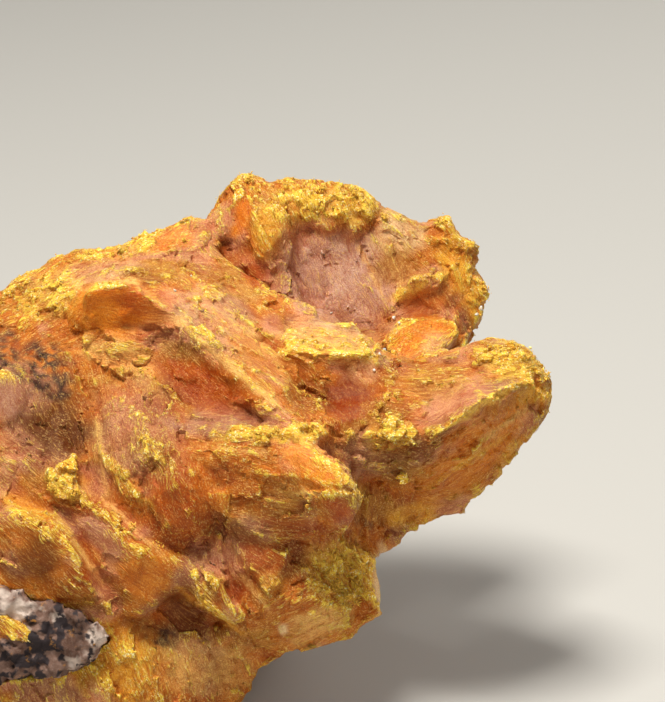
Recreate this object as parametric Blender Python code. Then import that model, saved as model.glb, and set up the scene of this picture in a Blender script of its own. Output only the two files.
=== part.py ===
"""A broken lump of orpiment with a patch of its host rock.

The lump is laid out the way it is seen from the front. A place on it is three lengths in
millimetres: how far across from the left edge of the front view, how far down from its top, and how
far it stands out towards the viewer. The front surface is a net of straight edges along its ridges
and grooves. Blocks that stand proud of it, and the hidden body behind it, are hulls around their own
corners. All of them grow together into one solid, which is then chipped into flat faces, stepped
along the blades of the mineral, set around the host rock and cut flat where it stands.
"""

import itertools
import math

import bmesh
import bpy
import numpy as np
from mathutils import Matrix, Vector, noise
from mathutils.geometry import delaunay_2d_cdt

MM = 0.001

# The front view: the viewer looks slightly down at the lump from this far away.
VIEW_TILT = math.radians(20)
VIEW_DISTANCE = 350.0
VIEW_ACROSS = 33.25
VIEW_DOWN = 35.1
FLOOR_DOWN = 74.5

# Middle of the finished lump's plan, counted like x and y of the front view. It is the origin.
MIDDLE_X = 14.9
MIDDLE_Y = 21.4

# How the solids are made: the cell in which the blocks grow together, and the triangles kept.
GROWTH_CELL = 0.55
ORPIMENT_TRIANGLES = 8600
ROCK_TRIANGLES = 1000
POCKET_TRIANGLES = 500
POCKET_GAP = 0.4

# The front surface goes back this far, drawn in around its middle.
SHELL_THICKNESS = 7.0
SHELL_MIDDLE = (24, 48)
SHELL_NARROWING = 0.88

# The front has faces of its own, so chips are this much weaker there.
SMOOTHER_FRONT = 0.65

# Chips: flat faces broken across the lump, as (size of a chip, tilt of its face).
CHIPS = [(7.0, 0.1), (3.2, 0.07)]

# Blades: the middle of a stretch, its reach, the way its blades run in degrees below level, the
# distance between steps and their height.
BLADES = {
    "shoulder": (8, 28, 9, -12, 1.6, 0.3),
    "fibrous_slope": (24, 34, 7, 42, 1.3, 0.4),
    "ledge": (33, 34, 5, 8, 1.2, 0.3),
    "bulge": (15, 46, 7, 60, 2.2, 0.25),
    "left_face": (2, 42, 6, 75, 1.8, 0.25),
    "tiles": (6, 55, 7, 45, 1.8, 0.35),
    "lip": (30, 48, 5, 35, 1.5, 0.25),
    "foot": (14, 68, 8, 68, 1.5, 0.4),
    "wedge": (31, 61, 6, -28, 1.8, 0.3),
    "prong": (46, 42, 8, -35, 1.8, 0.3),
    "back_plate": (40, 27, 9, 65, 2.0, 0.25),
    "hidden_end": (-14, 56, 12, 50, 2.2, 0.4),
}

# The outline of the front surface, from its left end over the top and around to the foot.
FRONT_EDGE = [
    (-12, 35.5, -8), (-5, 31, -7), (0, 29.3, -6.5), (1.7, 27.6, -7), (4.3, 26.6, -8),
    (6.4, 25.6, -8.5), (8, 24.9, -9), (11, 24.6, -9.5), (12.7, 24.1, -10), (15.1, 23.4, -11),
    (17.2, 22.2, -12), (19, 21.3, -12.5), (20.7, 21.5, -12.5), (21.4, 23.4, -11.6),
    (22.2, 25.2, -10), (24, 27.2, -8.4), (27.2, 29.2, -6.8), (28.9, 30, -5.8), (31.8, 30.8, -6),
    (31.7, 32, -4.6), (35.2, 32.5, -4), (36.7, 33.7, -3.5), (38.3, 34.8, -3), (40.7, 35.6, -3),
    (42.1, 35.8, -3.3), (44, 35.2, -4), (46.2, 34.6, -4.6), (47.9, 33.9, -5), (49.5, 34.1, -5.2),
    (51.6, 34.3, -5.2), (53, 35.2, -4.8), (54.2, 36.5, -4), (55.4, 37.7, -3), (55, 39.2, -2.4),
    (55.1, 40.2, -2.3), (54.2, 41.8, -2.2), (52.4, 44.4, -2.6), (51.3, 45.8, -2.8),
    (50.1, 47.1, -3), (49, 48.6, -3.1), (47.8, 49.7, -3.4), (47, 50.5, -4), (46.1, 51, -4.4),
    (44.7, 51.1, -4.4), (43.2, 51.5, -4.5), (41.7, 52.9, -4.4), (40.8, 53, -4.3),
    (40.3, 53.9, -4.2), (39.7, 54.7, -4), (38.1, 55.4, -3.2), (37.8, 56.6, -1.6), (38.1, 58.4, -1),
    (38.2, 59.6, -0.8), (38.4, 61.2, -0.4), (37.1, 62.4, 0.8), (35.3, 63.5, 1.6), (32.7, 64.7, 2),
    (29.9, 65, 2.2), (28.7, 65.5, 1.6), (27.5, 66.4, 0.4), (25.6, 67.1, -0.5), (25.2, 68.3, -1.5),
    (23.6, 71, -3), (21.6, 74.8, -4), (16, 77, -1), (9, 77, 1), (0, 77, 1), (-8, 77, 0),
    (-16, 77, -5),
]

# Ridges and grooves of the front surface.
FRONT_LINES = {
    "shoulder_break": [
        (-9, 36.6, -4), (-5, 34, -3.6), (0, 31.6, -3.2), (3.5, 29.8, -4), (7.5, 28.2, -4.6),
        (10.6, 26.6, -6.2), (13.6, 25.8, -7), (17.4, 24.4, -8.6), (20.2, 23.4, -10.5)],
    "behind_shard": [
        (8, 28.9, -1.2), (10.6, 27.8, -2.6), (13.6, 27.4, -3.2), (16.4, 28.6, -2.2),
        (17.4, 30.4, -0.6)],
    "fibre_break": [(18.5, 26, -7.5), (21, 27.4, -6.4), (24, 29, -5.4), (27.5, 31, -4.4)],
    "fibre_middle": [
        (17.8, 29.4, -1.5), (20.6, 30.6, -1.4), (23.6, 32.4, -0.8), (26.6, 34.9, 0.6),
        (29, 37.6, 1.9)],
    "ridge": [
        (16.7, 31, 1.8), (19.1, 33, 3.8), (20, 34.3, 4.6), (21.5, 34.6, 4.8), (22.3, 35.5, 5.5),
        (24, 37.5, 6.5), (25.4, 38.6, 7.2), (27.6, 40.7, 7.8), (29.2, 41.8, 8),
        (30.6, 42.3, 7.4)],
    "under_ridge": [
        (14.6, 33.8, 0.6), (17.2, 34.2, 1.7), (19.2, 36.8, 3.3), (21.4, 38.2, 4.3), (24.2, 40.4, 5.8),
        (26.4, 41.6, 6.8)],
    "red_face_floor": [
        (14.4, 35.8, 0.8), (16.8, 38, 2.2), (18.6, 40, 3.4), (21.4, 41, 4.2), (25, 41.9, 5.4)],
    "band_top": [(17.6, 41.2, 5), (20.5, 42.1, 6.2), (24, 42.4, 6.8), (28, 42.9, 7.4)],
    "band_low": [(18.6, 43.6, 6.4), (20.4, 44.8, 8), (23, 45, 9), (26.5, 45.2, 9.8)],
    "bulge_top": [
        (10.2, 38, 1), (13, 36.4, 1.4), (15.8, 37.6, 2.6), (17.4, 40, 4.4), (17.8, 42.6, 6.2),
        (19.6, 45.4, 8.2), (21.4, 48.1, 8.4), (22.3, 51.1, 7.2), (22, 53.8, 5.2)],
    "bulge_crown": [
        (11.6, 40.6, 3), (13.8, 42.6, 5.6), (15.6, 45.6, 7.8), (17.8, 48.6, 9.4),
        (18.8, 51.6, 8.6)],
    "bulge_shoulder": [(10.4, 44.2, 3.8), (12, 47.2, 5.8), (14.6, 50, 7.2), (17, 52.4, 7.4)],
    "bulge_foot": [
        (9.5, 39.4, 0.6), (8.6, 41.4, 0.9), (8.1, 45, 1.6), (8.7, 47.3, 3), (9.6, 48.9, 4),
        (11.5, 50.6, 5.2), (13.6, 52.6, 5.6), (15.7, 54.8, 5.4), (17.2, 55.2, 5.2),
        (21, 54.4, 4.6)],
    "left_valley": [
        (-6, 37.6, -1.6), (0, 34.4, -1.4), (4, 33.5, -1.2), (7.2, 33.2, -0.8), (9.6, 34.8, -0.4),
        (12.4, 34.6, 0)],
    "pale_face_edge": [
        (-6, 41, 2.4), (0, 36.9, 2.2), (2.4, 37.3, 2.2), (2.8, 39.4, 2.8), (2.2, 41.2, 3.2),
        (0, 43, 3.6), (-6, 44, 4)],
    "dark_patch": [(3.4, 35.8, 0), (6.2, 35.9, 0.2), (6.6, 39.2, 0.9), (4.2, 40.2, 1.8)],
    "left_low": [(-6, 47.6, 3.4), (2.8, 45.6, 3.8), (5.6, 43.8, 2.8), (7.2, 41.4, 1.4)],
    "tile_groove": [
        (-8, 49, 3), (0, 49.6, 3.8), (3.2, 50.7, 4), (6.4, 50.8, 3.8), (7.8, 52.6, 4.2),
        (9.1, 54.8, 4.2), (10.4, 57.7, 4.4)],
    "tile_crest": [
        (-8, 51.6, 5), (2.1, 51.7, 6.8), (5.1, 53.5, 7.6), (6.6, 54.8, 7.8), (8.5, 58.2, 7.2),
        (10.6, 60.5, 6)],
    "brown_face_foot": [
        (-8, 58.6, 4), (0, 58.8, 4.4), (3.5, 59.4, 4.6), (8, 60.9, 4.6), (11.3, 63.2, 4.2)],
    "glassy_crest": [
        (7.2, 49.4, 4.6), (9.6, 51.2, 5.8), (12.4, 53.6, 6.6), (15, 55.4, 7), (17.2, 56.6, 6.6)],
    "glassy_middle": [(12.6, 57, 6.2), (14.8, 58.4, 5.9)],
    "glassy_foot": [(11.2, 60.4, 4.6), (13.4, 60.9, 4.8), (16.4, 60, 5), (17.8, 58.2, 5.8)],
    "foot_band": [
        (11.9, 61.8, 3.4), (15, 62.6, 2.2), (18.5, 63.4, 1.8), (22, 64, 2.4), (25, 64.1, 2.8),
        (28, 63.6, 3.2)],
    "dark_wedge": [(15.4, 61.2, 1.6), (17.6, 59.6, 1.8), (19.4, 61.4, 1), (22, 62.4, 1.8)],
    "blade_foot": [(9.1, 65.4, 3), (13, 65, 3.4), (16, 66.4, 2.6), (20, 67, 1.2), (24.6, 66, -0.2)],
    "low_middle": [
        (-6, 68, 3), (2, 67.8, 3.6), (6, 68, 3.4), (9, 69.4, 3), (16, 70, 2.4), (20.6, 71, -0.6)],
    "ledge_back": [(28.4, 32.8, -3), (31.4, 32.6, -3.2), (34.6, 33.4, -2.8), (36.8, 34.4, -2.2)],
    "ledge_front": [
        (27.6, 35.4, 1), (29.6, 35.2, 2.2), (33, 35.2, 2.6), (36.6, 35.4, 1.6), (38.6, 35.9, 0)],
    "bowl_top": [(29.6, 37, 1.4), (33, 36.8, 1.2), (36.6, 37.2, 0.6)],
    "bowl_floor": [(31, 39.6, 1.8), (33.4, 39.8, 1.4), (35.6, 39.4, 1.4)],
    "bowl_rim": [
        (32.2, 42, 6.2), (34.4, 42.2, 5), (36.6, 41.6, 3.8), (38.6, 40, 2.4), (39.4, 37.8, 0.8)],
    "knob_row": [
        (33.4, 43.6, 6), (36, 44.2, 4.8), (38.4, 43.2, 4.8), (41.2, 43.8, 5.4), (43.2, 43.6, 6)],
    "crust_foot": [(35.2, 46.6, 4.4), (38, 46.6, 3.8), (41, 46.4, 3.6)],
    "prong_ridge": [
        (43.2, 43.6, 6), (45.3, 42.2, 6), (47.4, 40, 5.8), (49.3, 39.2, 4.8), (52.5, 38.1, 2.4),
        (54.4, 38.4, -0.8)],
    "prong_top": [
        (40.6, 37, -0.6), (43.4, 37.4, 0), (46.4, 38, 1.4), (49.2, 37.6, 0.8), (51.8, 36.6, -1.2)],
    "prong_face": [(41, 40.6, 3), (43.6, 41, 3.6)],
    "prong_low": [
        (51.6, 41.6, 0.8), (49, 44.8, 0.8), (46, 47.2, 0.8), (43, 48.6, 0.8), (40.6, 48.2, 0.8)],
    "crevice": [
        (36.6, 47.8, -0.6), (38.2, 48, -0.4), (38, 50.6, -1.8), (36.6, 53.4, -2),
        (35.6, 54.4, -1.4)],
    "crevice_left": [(35.4, 48.6, 2), (35.2, 51, 1), (34.4, 53.4, 1.4)],
    "flange_middle": [(40, 51, -2.4), (43, 50.2, -2.6), (45.6, 49.6, -2.6)],
    "lip_bed": [(28, 45.6, 7.6), (32, 46, 7), (33.8, 49, 6), (32.6, 52.4, 6)],
    "lip_bed_low": [(24.4, 49.6, 8.6), (28, 50.4, 8.6), (31, 52.6, 8)],
    "shelf": [(22.8, 53.6, 6), (26.4, 54.2, 6.4), (31, 54, 6.4), (33.4, 54.6, 4.6)],
    "slanting_band": [(21.2, 55.6, 5.4), (23, 57.6, 5.6), (25.4, 60.6, 6.4), (27.2, 60.2, 7)],
    "wedge_face": [(24.2, 62.2, 4.8), (28.4, 62, 5.4), (32.4, 62, 4.6), (35.6, 61, 2.6)],
    "granular_face": [
        (30.4, 57, 5.6), (33, 56.4, 3.2), (35.6, 55.8, 1), (36.2, 58.4, 1.4), (33.6, 59.2, 3.6),
        (30.8, 59.4, 5.8)],
}

# Blocks that stand proud of the front surface: corners, thickness, how much the back narrows.
PROUD_BLOCKS = {
    "shard": (
        [(8, 29.6, 2.3), (9.2, 28.3, 2.3), (10.5, 28.6, 2.9), (12.8, 28.5, 3.2), (15, 29.5, 3),
         (16.8, 31, 2.4), (15, 33.2, 0.8), (14, 33.7, 0.5), (11, 33.5, 0.3), (8.9, 32.2, 0.6)],
        4, 0.8),
    "notched_step": (
        [(28.2, 30, -5.2), (31.8, 30.8, -5.6), (31.6, 32.3, -4), (28.5, 32.5, -2.6)], 5, 0.9),
    "crumbs_left": (
        [(22.8, 44, 9.6), (24.5, 43, 9), (27.6, 42.7, 9), (28.3, 43.6, 9.8), (25, 44.4, 10.2)],
        3, 0.8),
    "crumbs_right": (
        [(28.4, 43.2, 9.4), (29.5, 42.2, 8.6), (32.6, 42.4, 7.8), (33.4, 43.5, 7.6),
         (30, 44.4, 9.6)],
        3.5, 0.8),
    "lip_top": (
        [(26.8, 44.7, 10), (28.3, 44, 10), (30.7, 44, 9.7), (32.2, 45.6, 10.4), (34.2, 46.4, 11.2),
         (35.4, 47.9, 12), (36, 49.5, 12.4), (34.5, 49.3, 13.4), (32.5, 49.3, 12.8),
         (29.8, 48.9, 12), (27.6, 47, 10.8)],
        4.5, 0.85),
    "lip_end": (
        [(29.8, 48.9, 11.6), (32.5, 49.3, 12.4), (34.5, 49.3, 12.8), (36, 49.6, 12),
         (35.3, 51.8, 10.8), (34.2, 53.3, 9), (32.6, 52.6, 9.6), (31, 51.2, 10.8)],
        7, 0.8),
    "lip_root": (
        [(22.4, 46.3, 8.8), (24.6, 45.4, 9.8), (27, 45.4, 10.2), (29.8, 49.1, 11.3),
         (31.6, 51.2, 10.2), (33.2, 53.2, 8.3), (31, 53.6, 8), (27, 54.1, 7.6), (24, 53.7, 7.4),
         (22.6, 52, 7.6)],
        5, 0.9),
    "tooth": (
        [(18.6, 56.6, 5.6), (20.5, 56.6, 6.8), (22, 57.7, 7.5), (23.2, 60, 7.6), (24, 62.1, 6.6),
         (22.6, 62.2, 6.4), (20.2, 60.2, 5.8), (17.8, 57.7, 5.2)],
        3.5, 0.75),
    "red_triangle": (
        [(23.4, 54.4, 6.6), (27, 54.6, 7.2), (29.4, 55.4, 7), (28, 58, 7.8), (26.8, 60.2, 8),
         (25.2, 57.6, 7.4)],
        4, 0.8),
    "pale_face": (
        [(-6, 39, 2.6), (0.5, 36.9, 3), (2.3, 37.4, 2.9), (2.7, 39.5, 3.3), (1.6, 41, 3.7),
         (0, 42.2, 4), (-6, 43, 4.4)],
        3.5, 0.9),
    "yellow_chip": (
        [(4.4, 47, 5), (5.6, 47.3, 5.6), (6.5, 46.2, 5.4), (7.8, 45.4, 4.6), (8, 47, 5),
         (7.6, 48.6, 6), (6.8, 50.6, 6.2), (5.8, 49.8, 6.2), (4.9, 50, 5.6)],
        3.5, 0.8),
    "round_knob": (
        [(38.2, 42.4, 5.6), (39.4, 42, 5.6), (40.2, 42.8, 5.8), (39.8, 43.8, 6.2),
         (38.6, 43.9, 6)],
        2.5, 0.8),
    "lower_knob": (
        [(40, 47.6, 3.4), (40.7, 47.5, 3.6), (40.7, 48.2, 3.6), (40.1, 48.3, 3.6)], 3.5, 0.9),
    "fold_blade": (
        [(24.6, 40.4, 7), (29.2, 41.6, 8.2), (30.4, 42.4, 8), (28, 42.4, 7.6)], 2, 0.9),
}

# The upright plate behind the front of the lump, with its knob, crest and shelf.
PLATE_BLOCKS = {
    "plate_left": (
        [(26.6, 18.3, -15.2), (28.7, 17.8, -15.5), (29.6, 18.6, -15.5), (31.2, 18.5, -15.6),
         (33.2, 18.4, -15.6), (36.1, 18.8, -15.6), (36.9, 19.9, -15.7), (38.4, 21.3, -15.8),
         (38.6, 34, -15.2), (30, 32, -14.6), (27, 27, -14.2)],
        7, 0.9),
    "crest_left": (
        [(28.8, 18.6, -14.8), (31, 18.6, -14.6), (32.2, 19.8, -14.2), (31.8, 22, -13.8),
         (30.4, 22.6, -13.8), (29.4, 20.8, -14)],
        4, 0.85),
    "crest_middle": (
        [(31.4, 18.6, -15), (33.6, 18.6, -14.8), (34.2, 21, -14.2), (33.4, 23.4, -13.6),
         (32, 22.6, -14)],
        4, 0.85),
    "crest_right": (
        [(33.6, 18.8, -15), (35.8, 19, -15), (36.8, 20.6, -14.6), (37.4, 22.4, -14.6),
         (35.4, 23.6, -14.2), (34.2, 22, -14.2)],
        4, 0.85),
    "plate_fold": (
        [(27.6, 19.2, -13.4), (28.6, 19, -13.4), (29.4, 22, -12.8), (29.2, 26.4, -12.8),
         (28.2, 27.4, -12.8), (27.6, 23.6, -12.6)],
        4, 0.85),
    "plate_middle": (
        [(36.6, 19.9, -15.7), (37.9, 21, -16), (39.4, 21.3, -16.4), (40.8, 22.6, -16.5),
         (43.4, 22.8, -16.9), (45.6, 25, -17), (46.4, 34.5, -16), (38, 35, -15)],
        6.5, 0.9),
    "plate_right": (
        [(43.6, 23, -17), (45.6, 24, -17.2), (46.8, 26, -17.4), (47.6, 28.4, -17.8),
         (48.4, 30.4, -18), (47.4, 32.6, -17.5), (46.2, 34.9, -17), (43.5, 36, -15.5),
         (42, 30, -16)],
        6, 0.9),
    "tooth_high": (
        [(43, 22.2, -17), (44.4, 21.6, -17), (45.4, 22, -17), (45.5, 23.6, -17), (44, 24.4, -17)],
        3, 0.8),
    "tooth_middle": (
        [(45.4, 24, -17.2), (46.6, 23.8, -17.2), (47.6, 24.4, -17.4), (47.3, 26, -17.6),
         (46, 26, -17)],
        3, 0.8),
    "tooth_low": (
        [(46.6, 27.2, -17.6), (48, 28, -17.9), (49.1, 28.7, -18), (49, 29.9, -18),
         (47.4, 30.2, -17.6)],
        3, 0.8),
    "plate_rib": (
        [(40, 29.8, -14.6), (40.8, 28, -14.4), (42.3, 27.2, -14.6), (44.4, 27.2, -15),
         (44.6, 28.2, -15.2), (42.6, 28.2, -15), (41.2, 29.4, -15)],
        3, 0.9),
    "plate_shelf": (
        [(38.6, 33.9, -12.8), (40, 32, -13.4), (42.6, 31.6, -13.5), (45.9, 32, -13.5),
         (45.8, 33.6, -12.5), (44.6, 35.2, -11.5), (42, 36.4, -10), (39, 36, -9.5)],
        7, 0.9),
    "back_knob": (
        [(21, 21.4, -13), (22.3, 19.9, -13.7), (23.2, 18.3, -14.2), (24.4, 17.3, -14.5),
         (25.5, 17.3, -14.5), (26.5, 18, -14.5), (27.6, 18.6, -14.3), (27.3, 20.6, -12.8),
         (25.1, 21, -12), (23.4, 20.4, -12.2)],
        7, 0.85),
    "knob_root": (
        [(20.8, 21.6, -13), (22.4, 20.4, -12.4), (23.2, 21, -12), (22.8, 23, -11.6),
         (21.6, 24, -11.4)],
        6, 0.9),
    "knob_face": (
        [(22.8, 20.4, -12.2), (24.6, 19.8, -12.2), (25.2, 21, -12), (24.9, 23.4, -11.8),
         (23.8, 24.8, -11.8), (22.5, 23.2, -12.2)],
        6, 0.9),
    "round_face": (
        [(24.7, 22, -12), (25.6, 20.7, -12.2), (27.8, 20.6, -12.5), (28.5, 23.2, -12.5),
         (28.3, 26, -12.6), (27, 26.8, -11.8), (25.4, 25.6, -11.2), (26.6, 23.4, -10.7)],
        6, 0.85),
    "recess_floor": (
        [(22, 21, -13.6), (26, 20.4, -14), (28, 24, -13.6), (30.4, 30.6, -12.4), (25, 27.4, -11.8),
         (22, 25, -12.6)],
        8, 0.9),
    "plate_foot": (
        [(20, 24.5, -14.6), (26, 27.5, -14.8), (30, 31, -14), (38, 34.5, -13), (38, 37.5, -8),
         (28, 34, -8), (20, 30, -9)],
        12, 0.9),
}

# The body that the front view doesn't show: its heart, left end, back and foot.
HIDDEN_BLOCKS = {
    "heart": (
        [(-16, 44, -3), (-6, 36, -7), (8, 31, -9), (20, 27, -13), (30, 34, -9), (38, 40, -7),
         (38, 47, -6), (33, 57, -5), (24, 65, -6), (10, 71, -3), (-12, 73, -4), (-20, 60, -5)],
        20, 0.9),
    "left_end_high": (
        [(0, 30.4, -6.5), (-6, 32.6, -7.5), (-12, 36, -8.5), (-17, 41.5, -9.5),
         (-20.5, 48, -9.5), (-22, 54, -8.5), (-15, 52, -1), (-8, 49, 3.2), (-1, 45, 2.6),
         (0, 36, -1.4), (-8, 38, -2)],
        15, 0.85),
    "left_end_low": (
        [(-21.5, 53, -8), (-23.8, 60, -8), (-22, 68, -7.5), (-18, 77, -8), (-10, 77, -3),
         (-7, 66, 2), (-10, 59, 3), (-16, 54, -0.5), (-2, 52, 3.6), (-3, 58, 3.6)],
        15, 0.85),
    "left_step": (
        [(-7, 41, 1.8), (-3, 39, 1), (-3, 47, 4), (-6, 50, 4.4), (-12, 50.5, 2.6),
         (-11, 45, 1.6)],
        6, 0.8),
    "back_high": (
        [(6, 32, -20), (20, 27, -21), (32, 28, -21), (40, 36, -20), (37, 45, -25), (25, 41, -30),
         (10, 42, -29), (-8, 42, -24)],
        4, 0.75),
    "back_low": (
        [(-18, 55, -20), (5, 47, -30), (24, 46, -31), (34, 52, -25), (26, 62, -25), (10, 67, -24),
         (-12, 69, -21)],
        4, 0.75),
    "back_ledge": (
        [(-6, 37, -20), (4, 33, -22), (12, 35, -27), (8, 45, -31), (-6, 46, -27), (-12, 44, -22)],
        4, 0.7),
    "foot_core": (
        [(-8, 62, 0), (8, 62, 0), (20, 66, -3), (19, 78, -6), (-8, 78, -4)], 14, 0.95),
    "back_foot": (
        [(-12, 68, -16), (2, 65, -24), (16, 65, -24), (24, 66, -16), (21, 74, -8),
         (-12, 76, -6)],
        3, 0.8),
}

# The host rock: a lens that shows at the lower left and reaches the foot of the lump.
ROCK_BLOCKS = {
    "rock_front": (
        [(11.2, 63.7, 5), (8.5, 61.7, 5.6), (6.4, 60.9, 5.6), (4.6, 60.7, 5.8), (2, 59.6, 5.6),
         (0, 59.1, 5.4), (-6, 58.6, 5), (-12, 60.4, 3), (-12, 68, 2.4), (-6, 68.6, 4),
         (2, 67.5, 5.2), (6.2, 67.1, 5), (8.6, 66.4, 4.8), (9.2, 64.9, 4.8)],
        6, 0.9),
    "rock_end": (
        [(-6, 59, 4.4), (-12, 60.4, 3.4), (-18, 62.4, 0.6), (-21.6, 66.4, -3), (-22.4, 71, -4),
         (-20, 79, -6), (-9, 79, 1), (-5, 70, 4.2), (-4, 64, 4.8)],
        9, 0.9),
    "rock_root": (
        [(4, 61, 2), (-6, 60, 2), (-14, 64, -2), (-12, 79, -4), (-2, 79, -3), (4, 68, 1)],
        8, 0.85),
}

# What each solid is made of: colour, roughness.
ORPIMENT_FINISH = ((0.78, 0.36, 0.06), 0.45)
ROCK_FINISH = ((0.42, 0.39, 0.38), 0.8)


def place(across, down, near):
    """A place on the front view, as x, y and z in millimetres, with z up from the floor."""
    spread = (VIEW_DISTANCE - near) / VIEW_DISTANCE
    side = VIEW_ACROSS + (across - VIEW_ACROSS) * spread
    height = FLOOR_DOWN - VIEW_DOWN + (VIEW_DOWN - down) * spread
    return Vector((
        side - MIDDLE_X,
        height * math.sin(VIEW_TILT) - near * math.cos(VIEW_TILT) - MIDDLE_Y,
        height * math.cos(VIEW_TILT) + near * math.sin(VIEW_TILT),
    ))


def seen_from_front(points):
    """Where points of the solid (rows of x, y, z) lie on the front view: across and down."""
    side = points[:, 0] + MIDDLE_X
    depth = points[:, 1] + MIDDLE_Y
    height = depth * math.sin(VIEW_TILT) + points[:, 2] * math.cos(VIEW_TILT)
    near = points[:, 2] * math.sin(VIEW_TILT) - depth * math.cos(VIEW_TILT)
    spread = (VIEW_DISTANCE - near) / VIEW_DISTANCE
    across = VIEW_ACROSS + (side - VIEW_ACROSS) / spread
    down = VIEW_DOWN - (height - FLOOR_DOWN + VIEW_DOWN) / spread
    return across, down


def add_hull(build, front, thickness, narrowing):
    """Adds the convex skin around a block: its front corners, and the same ones further back."""
    middle_across = sum(corner[0] for corner in front) / len(front)
    middle_down = sum(corner[1] for corner in front) / len(front)
    corners = []
    for across, down, near in front:
        corners.append(place(across, down, near))
        corners.append(place(
            middle_across + (across - middle_across) * narrowing,
            middle_down + (down - middle_down) * narrowing,
            near - thickness,
        ))
    made = [build.verts.new(corner) for corner in corners]
    skin = bmesh.ops.convex_hull(build, input=made)
    unused = set(skin["geom_interior"]) | set(skin["geom_unused"])
    inside = [item for item in unused if isinstance(item, bmesh.types.BMVert)]
    bmesh.ops.delete(build, geom=inside, context="VERTS")


def front_net():
    """The net of the front surface: its points, its triangles and the points of its outline."""
    points = []
    number_at = {}

    def number_of(point):
        if point[:2] not in number_at:
            number_at[point[:2]] = len(points)
            points.append(point)
        return number_at[point[:2]]

    outline = [number_of(point) for point in FRONT_EDGE]
    creases = []
    for line in FRONT_LINES.values():
        numbers = [number_of(point) for point in line]
        creases += list(zip(numbers, numbers[1:]))
    flat = [Vector(point[:2]) for point in points]
    inside_outline = 1
    net = delaunay_2d_cdt(flat, creases, [outline], inside_outline, 1e-5)
    originals = [sources[0] for sources in net[3]]
    triangles = [[originals[corner] for corner in face] for face in net[2]]
    return points, triangles, outline


def add_front_shell(build):
    """Adds the front surface as a thick shell that is drawn in towards its back."""
    points, triangles, outline = front_net()
    front = [build.verts.new(place(*point)) for point in points]
    back = []
    for across, down, near in points:
        back.append(build.verts.new(place(
            SHELL_MIDDLE[0] + (across - SHELL_MIDDLE[0]) * SHELL_NARROWING,
            SHELL_MIDDLE[1] + (down - SHELL_MIDDLE[1]) * SHELL_NARROWING,
            near - SHELL_THICKNESS,
        )))
    for corners in triangles:
        build.faces.new([front[number] for number in corners])
        build.faces.new([back[number] for number in reversed(corners)])
    for one, other in zip(outline, outline[1:] + outline[:1]):
        build.faces.new([front[one], front[other], back[other], back[one]])


def add_object(name, mesh):
    obj = bpy.data.objects.new(name, mesh)
    bpy.context.scene.collection.objects.link(obj)
    return obj


def settle(obj):
    """Gives the object the mesh that its modifiers make, and clears them."""
    graph = bpy.context.evaluated_depsgraph_get()
    made = bpy.data.meshes.new_from_object(obj.evaluated_get(graph))
    obj.modifiers.clear()
    obj.data = made


def keep_largest_body(obj):
    """Drops closed hollows and crumbs: only the body with the most faces stays."""
    build = bmesh.new()
    build.from_mesh(obj.data)
    waiting = set(build.verts)
    bodies = []
    while waiting:
        front = [waiting.pop()]
        body = list(front)
        while front:
            for edge in front.pop().link_edges:
                for vert in edge.verts:
                    if vert in waiting:
                        waiting.remove(vert)
                        front.append(vert)
                        body.append(vert)
        bodies.append(body)
    bodies.sort(key=len)
    loose = [vert for body in bodies[:-1] for vert in body]
    bmesh.ops.delete(build, geom=loose, context="VERTS")
    build.to_mesh(obj.data)
    build.free()


def grow_together(name, build):
    """One even skin around everything in the bmesh, with nothing left inside it."""
    bmesh.ops.recalc_face_normals(build, faces=build.faces)
    mesh = bpy.data.meshes.new(name)
    build.to_mesh(mesh)
    build.free()
    obj = add_object(name, mesh)
    skin = obj.modifiers.new("skin", "REMESH")
    skin.mode = "VOXEL"
    skin.voxel_size = GROWTH_CELL
    settle(obj)
    keep_largest_body(obj)
    return obj


def mesh_points(mesh):
    points = np.empty(len(mesh.vertices) * 3, dtype=np.float32)
    mesh.vertices.foreach_get("co", points)
    return points.reshape(-1, 3).astype(float)


def mesh_normals(mesh):
    normals = np.empty(len(mesh.vertices) * 3, dtype=np.float32)
    mesh.vertex_normals.foreach_get("vector", normals)
    return normals.reshape(-1, 3).astype(float)


def move_along_normals(obj, heights):
    points = mesh_points(obj.data) + mesh_normals(obj.data) * heights[:, None]
    obj.data.vertices.foreach_set("co", points.astype(np.float32).ravel())
    obj.data.update()


def chance(cells, salt):
    """Numbers from 0 to 1, one for each row of cells: scattered, but the same each time."""
    return np.mod(np.sin(cells @ np.array([127.1, 311.7, 74.7]) + salt * 19.19) * 43758.5453, 1.0)


def chip_heights(points, size, tilt):
    """Flat faces at chance angles: each point is raised by the slope of the chip it falls in."""
    spots = points / size
    home = np.floor(spots)
    heights = np.zeros(len(points))
    nearest = np.full(len(points), np.inf)
    for step in itertools.product((-1, 0, 1), repeat=3):
        cells = home + step
        middles = cells + np.stack([chance(cells, salt) for salt in (0, 1, 2)], axis=1)
        slopes = np.stack([chance(cells, salt) - 0.5 for salt in (3, 4, 5)], axis=1)
        slopes /= np.linalg.norm(slopes, axis=1)[:, None]
        away = spots - middles
        distances = (away ** 2).sum(axis=1)
        closer = distances < nearest
        nearest[closer] = distances[closer]
        heights[closer] = (tilt * size * (away * slopes).sum(axis=1))[closer]
    return heights


def blade_heights(points):
    """Steps between the blades of the mineral, strongest around the middle of each stretch."""
    across, down = seen_from_front(points)
    wander = np.array([noise.noise(Vector(point) / 3.5) for point in points])
    heights = np.zeros(len(points))
    for middle_across, middle_down, reach, slant, spacing, step in BLADES.values():
        slant = math.radians(slant)
        gone_across = across - middle_across
        gone_down = down - middle_down
        over_blades = gone_down * math.cos(slant) - gone_across * math.sin(slant)
        order = over_blades / spacing + wander * 1.2
        strength = np.exp(-(gone_across ** 2 + gone_down ** 2) / reach ** 2)
        heights += strength * step * (np.mod(order, 1.0) - 0.5)
    return heights


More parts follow.
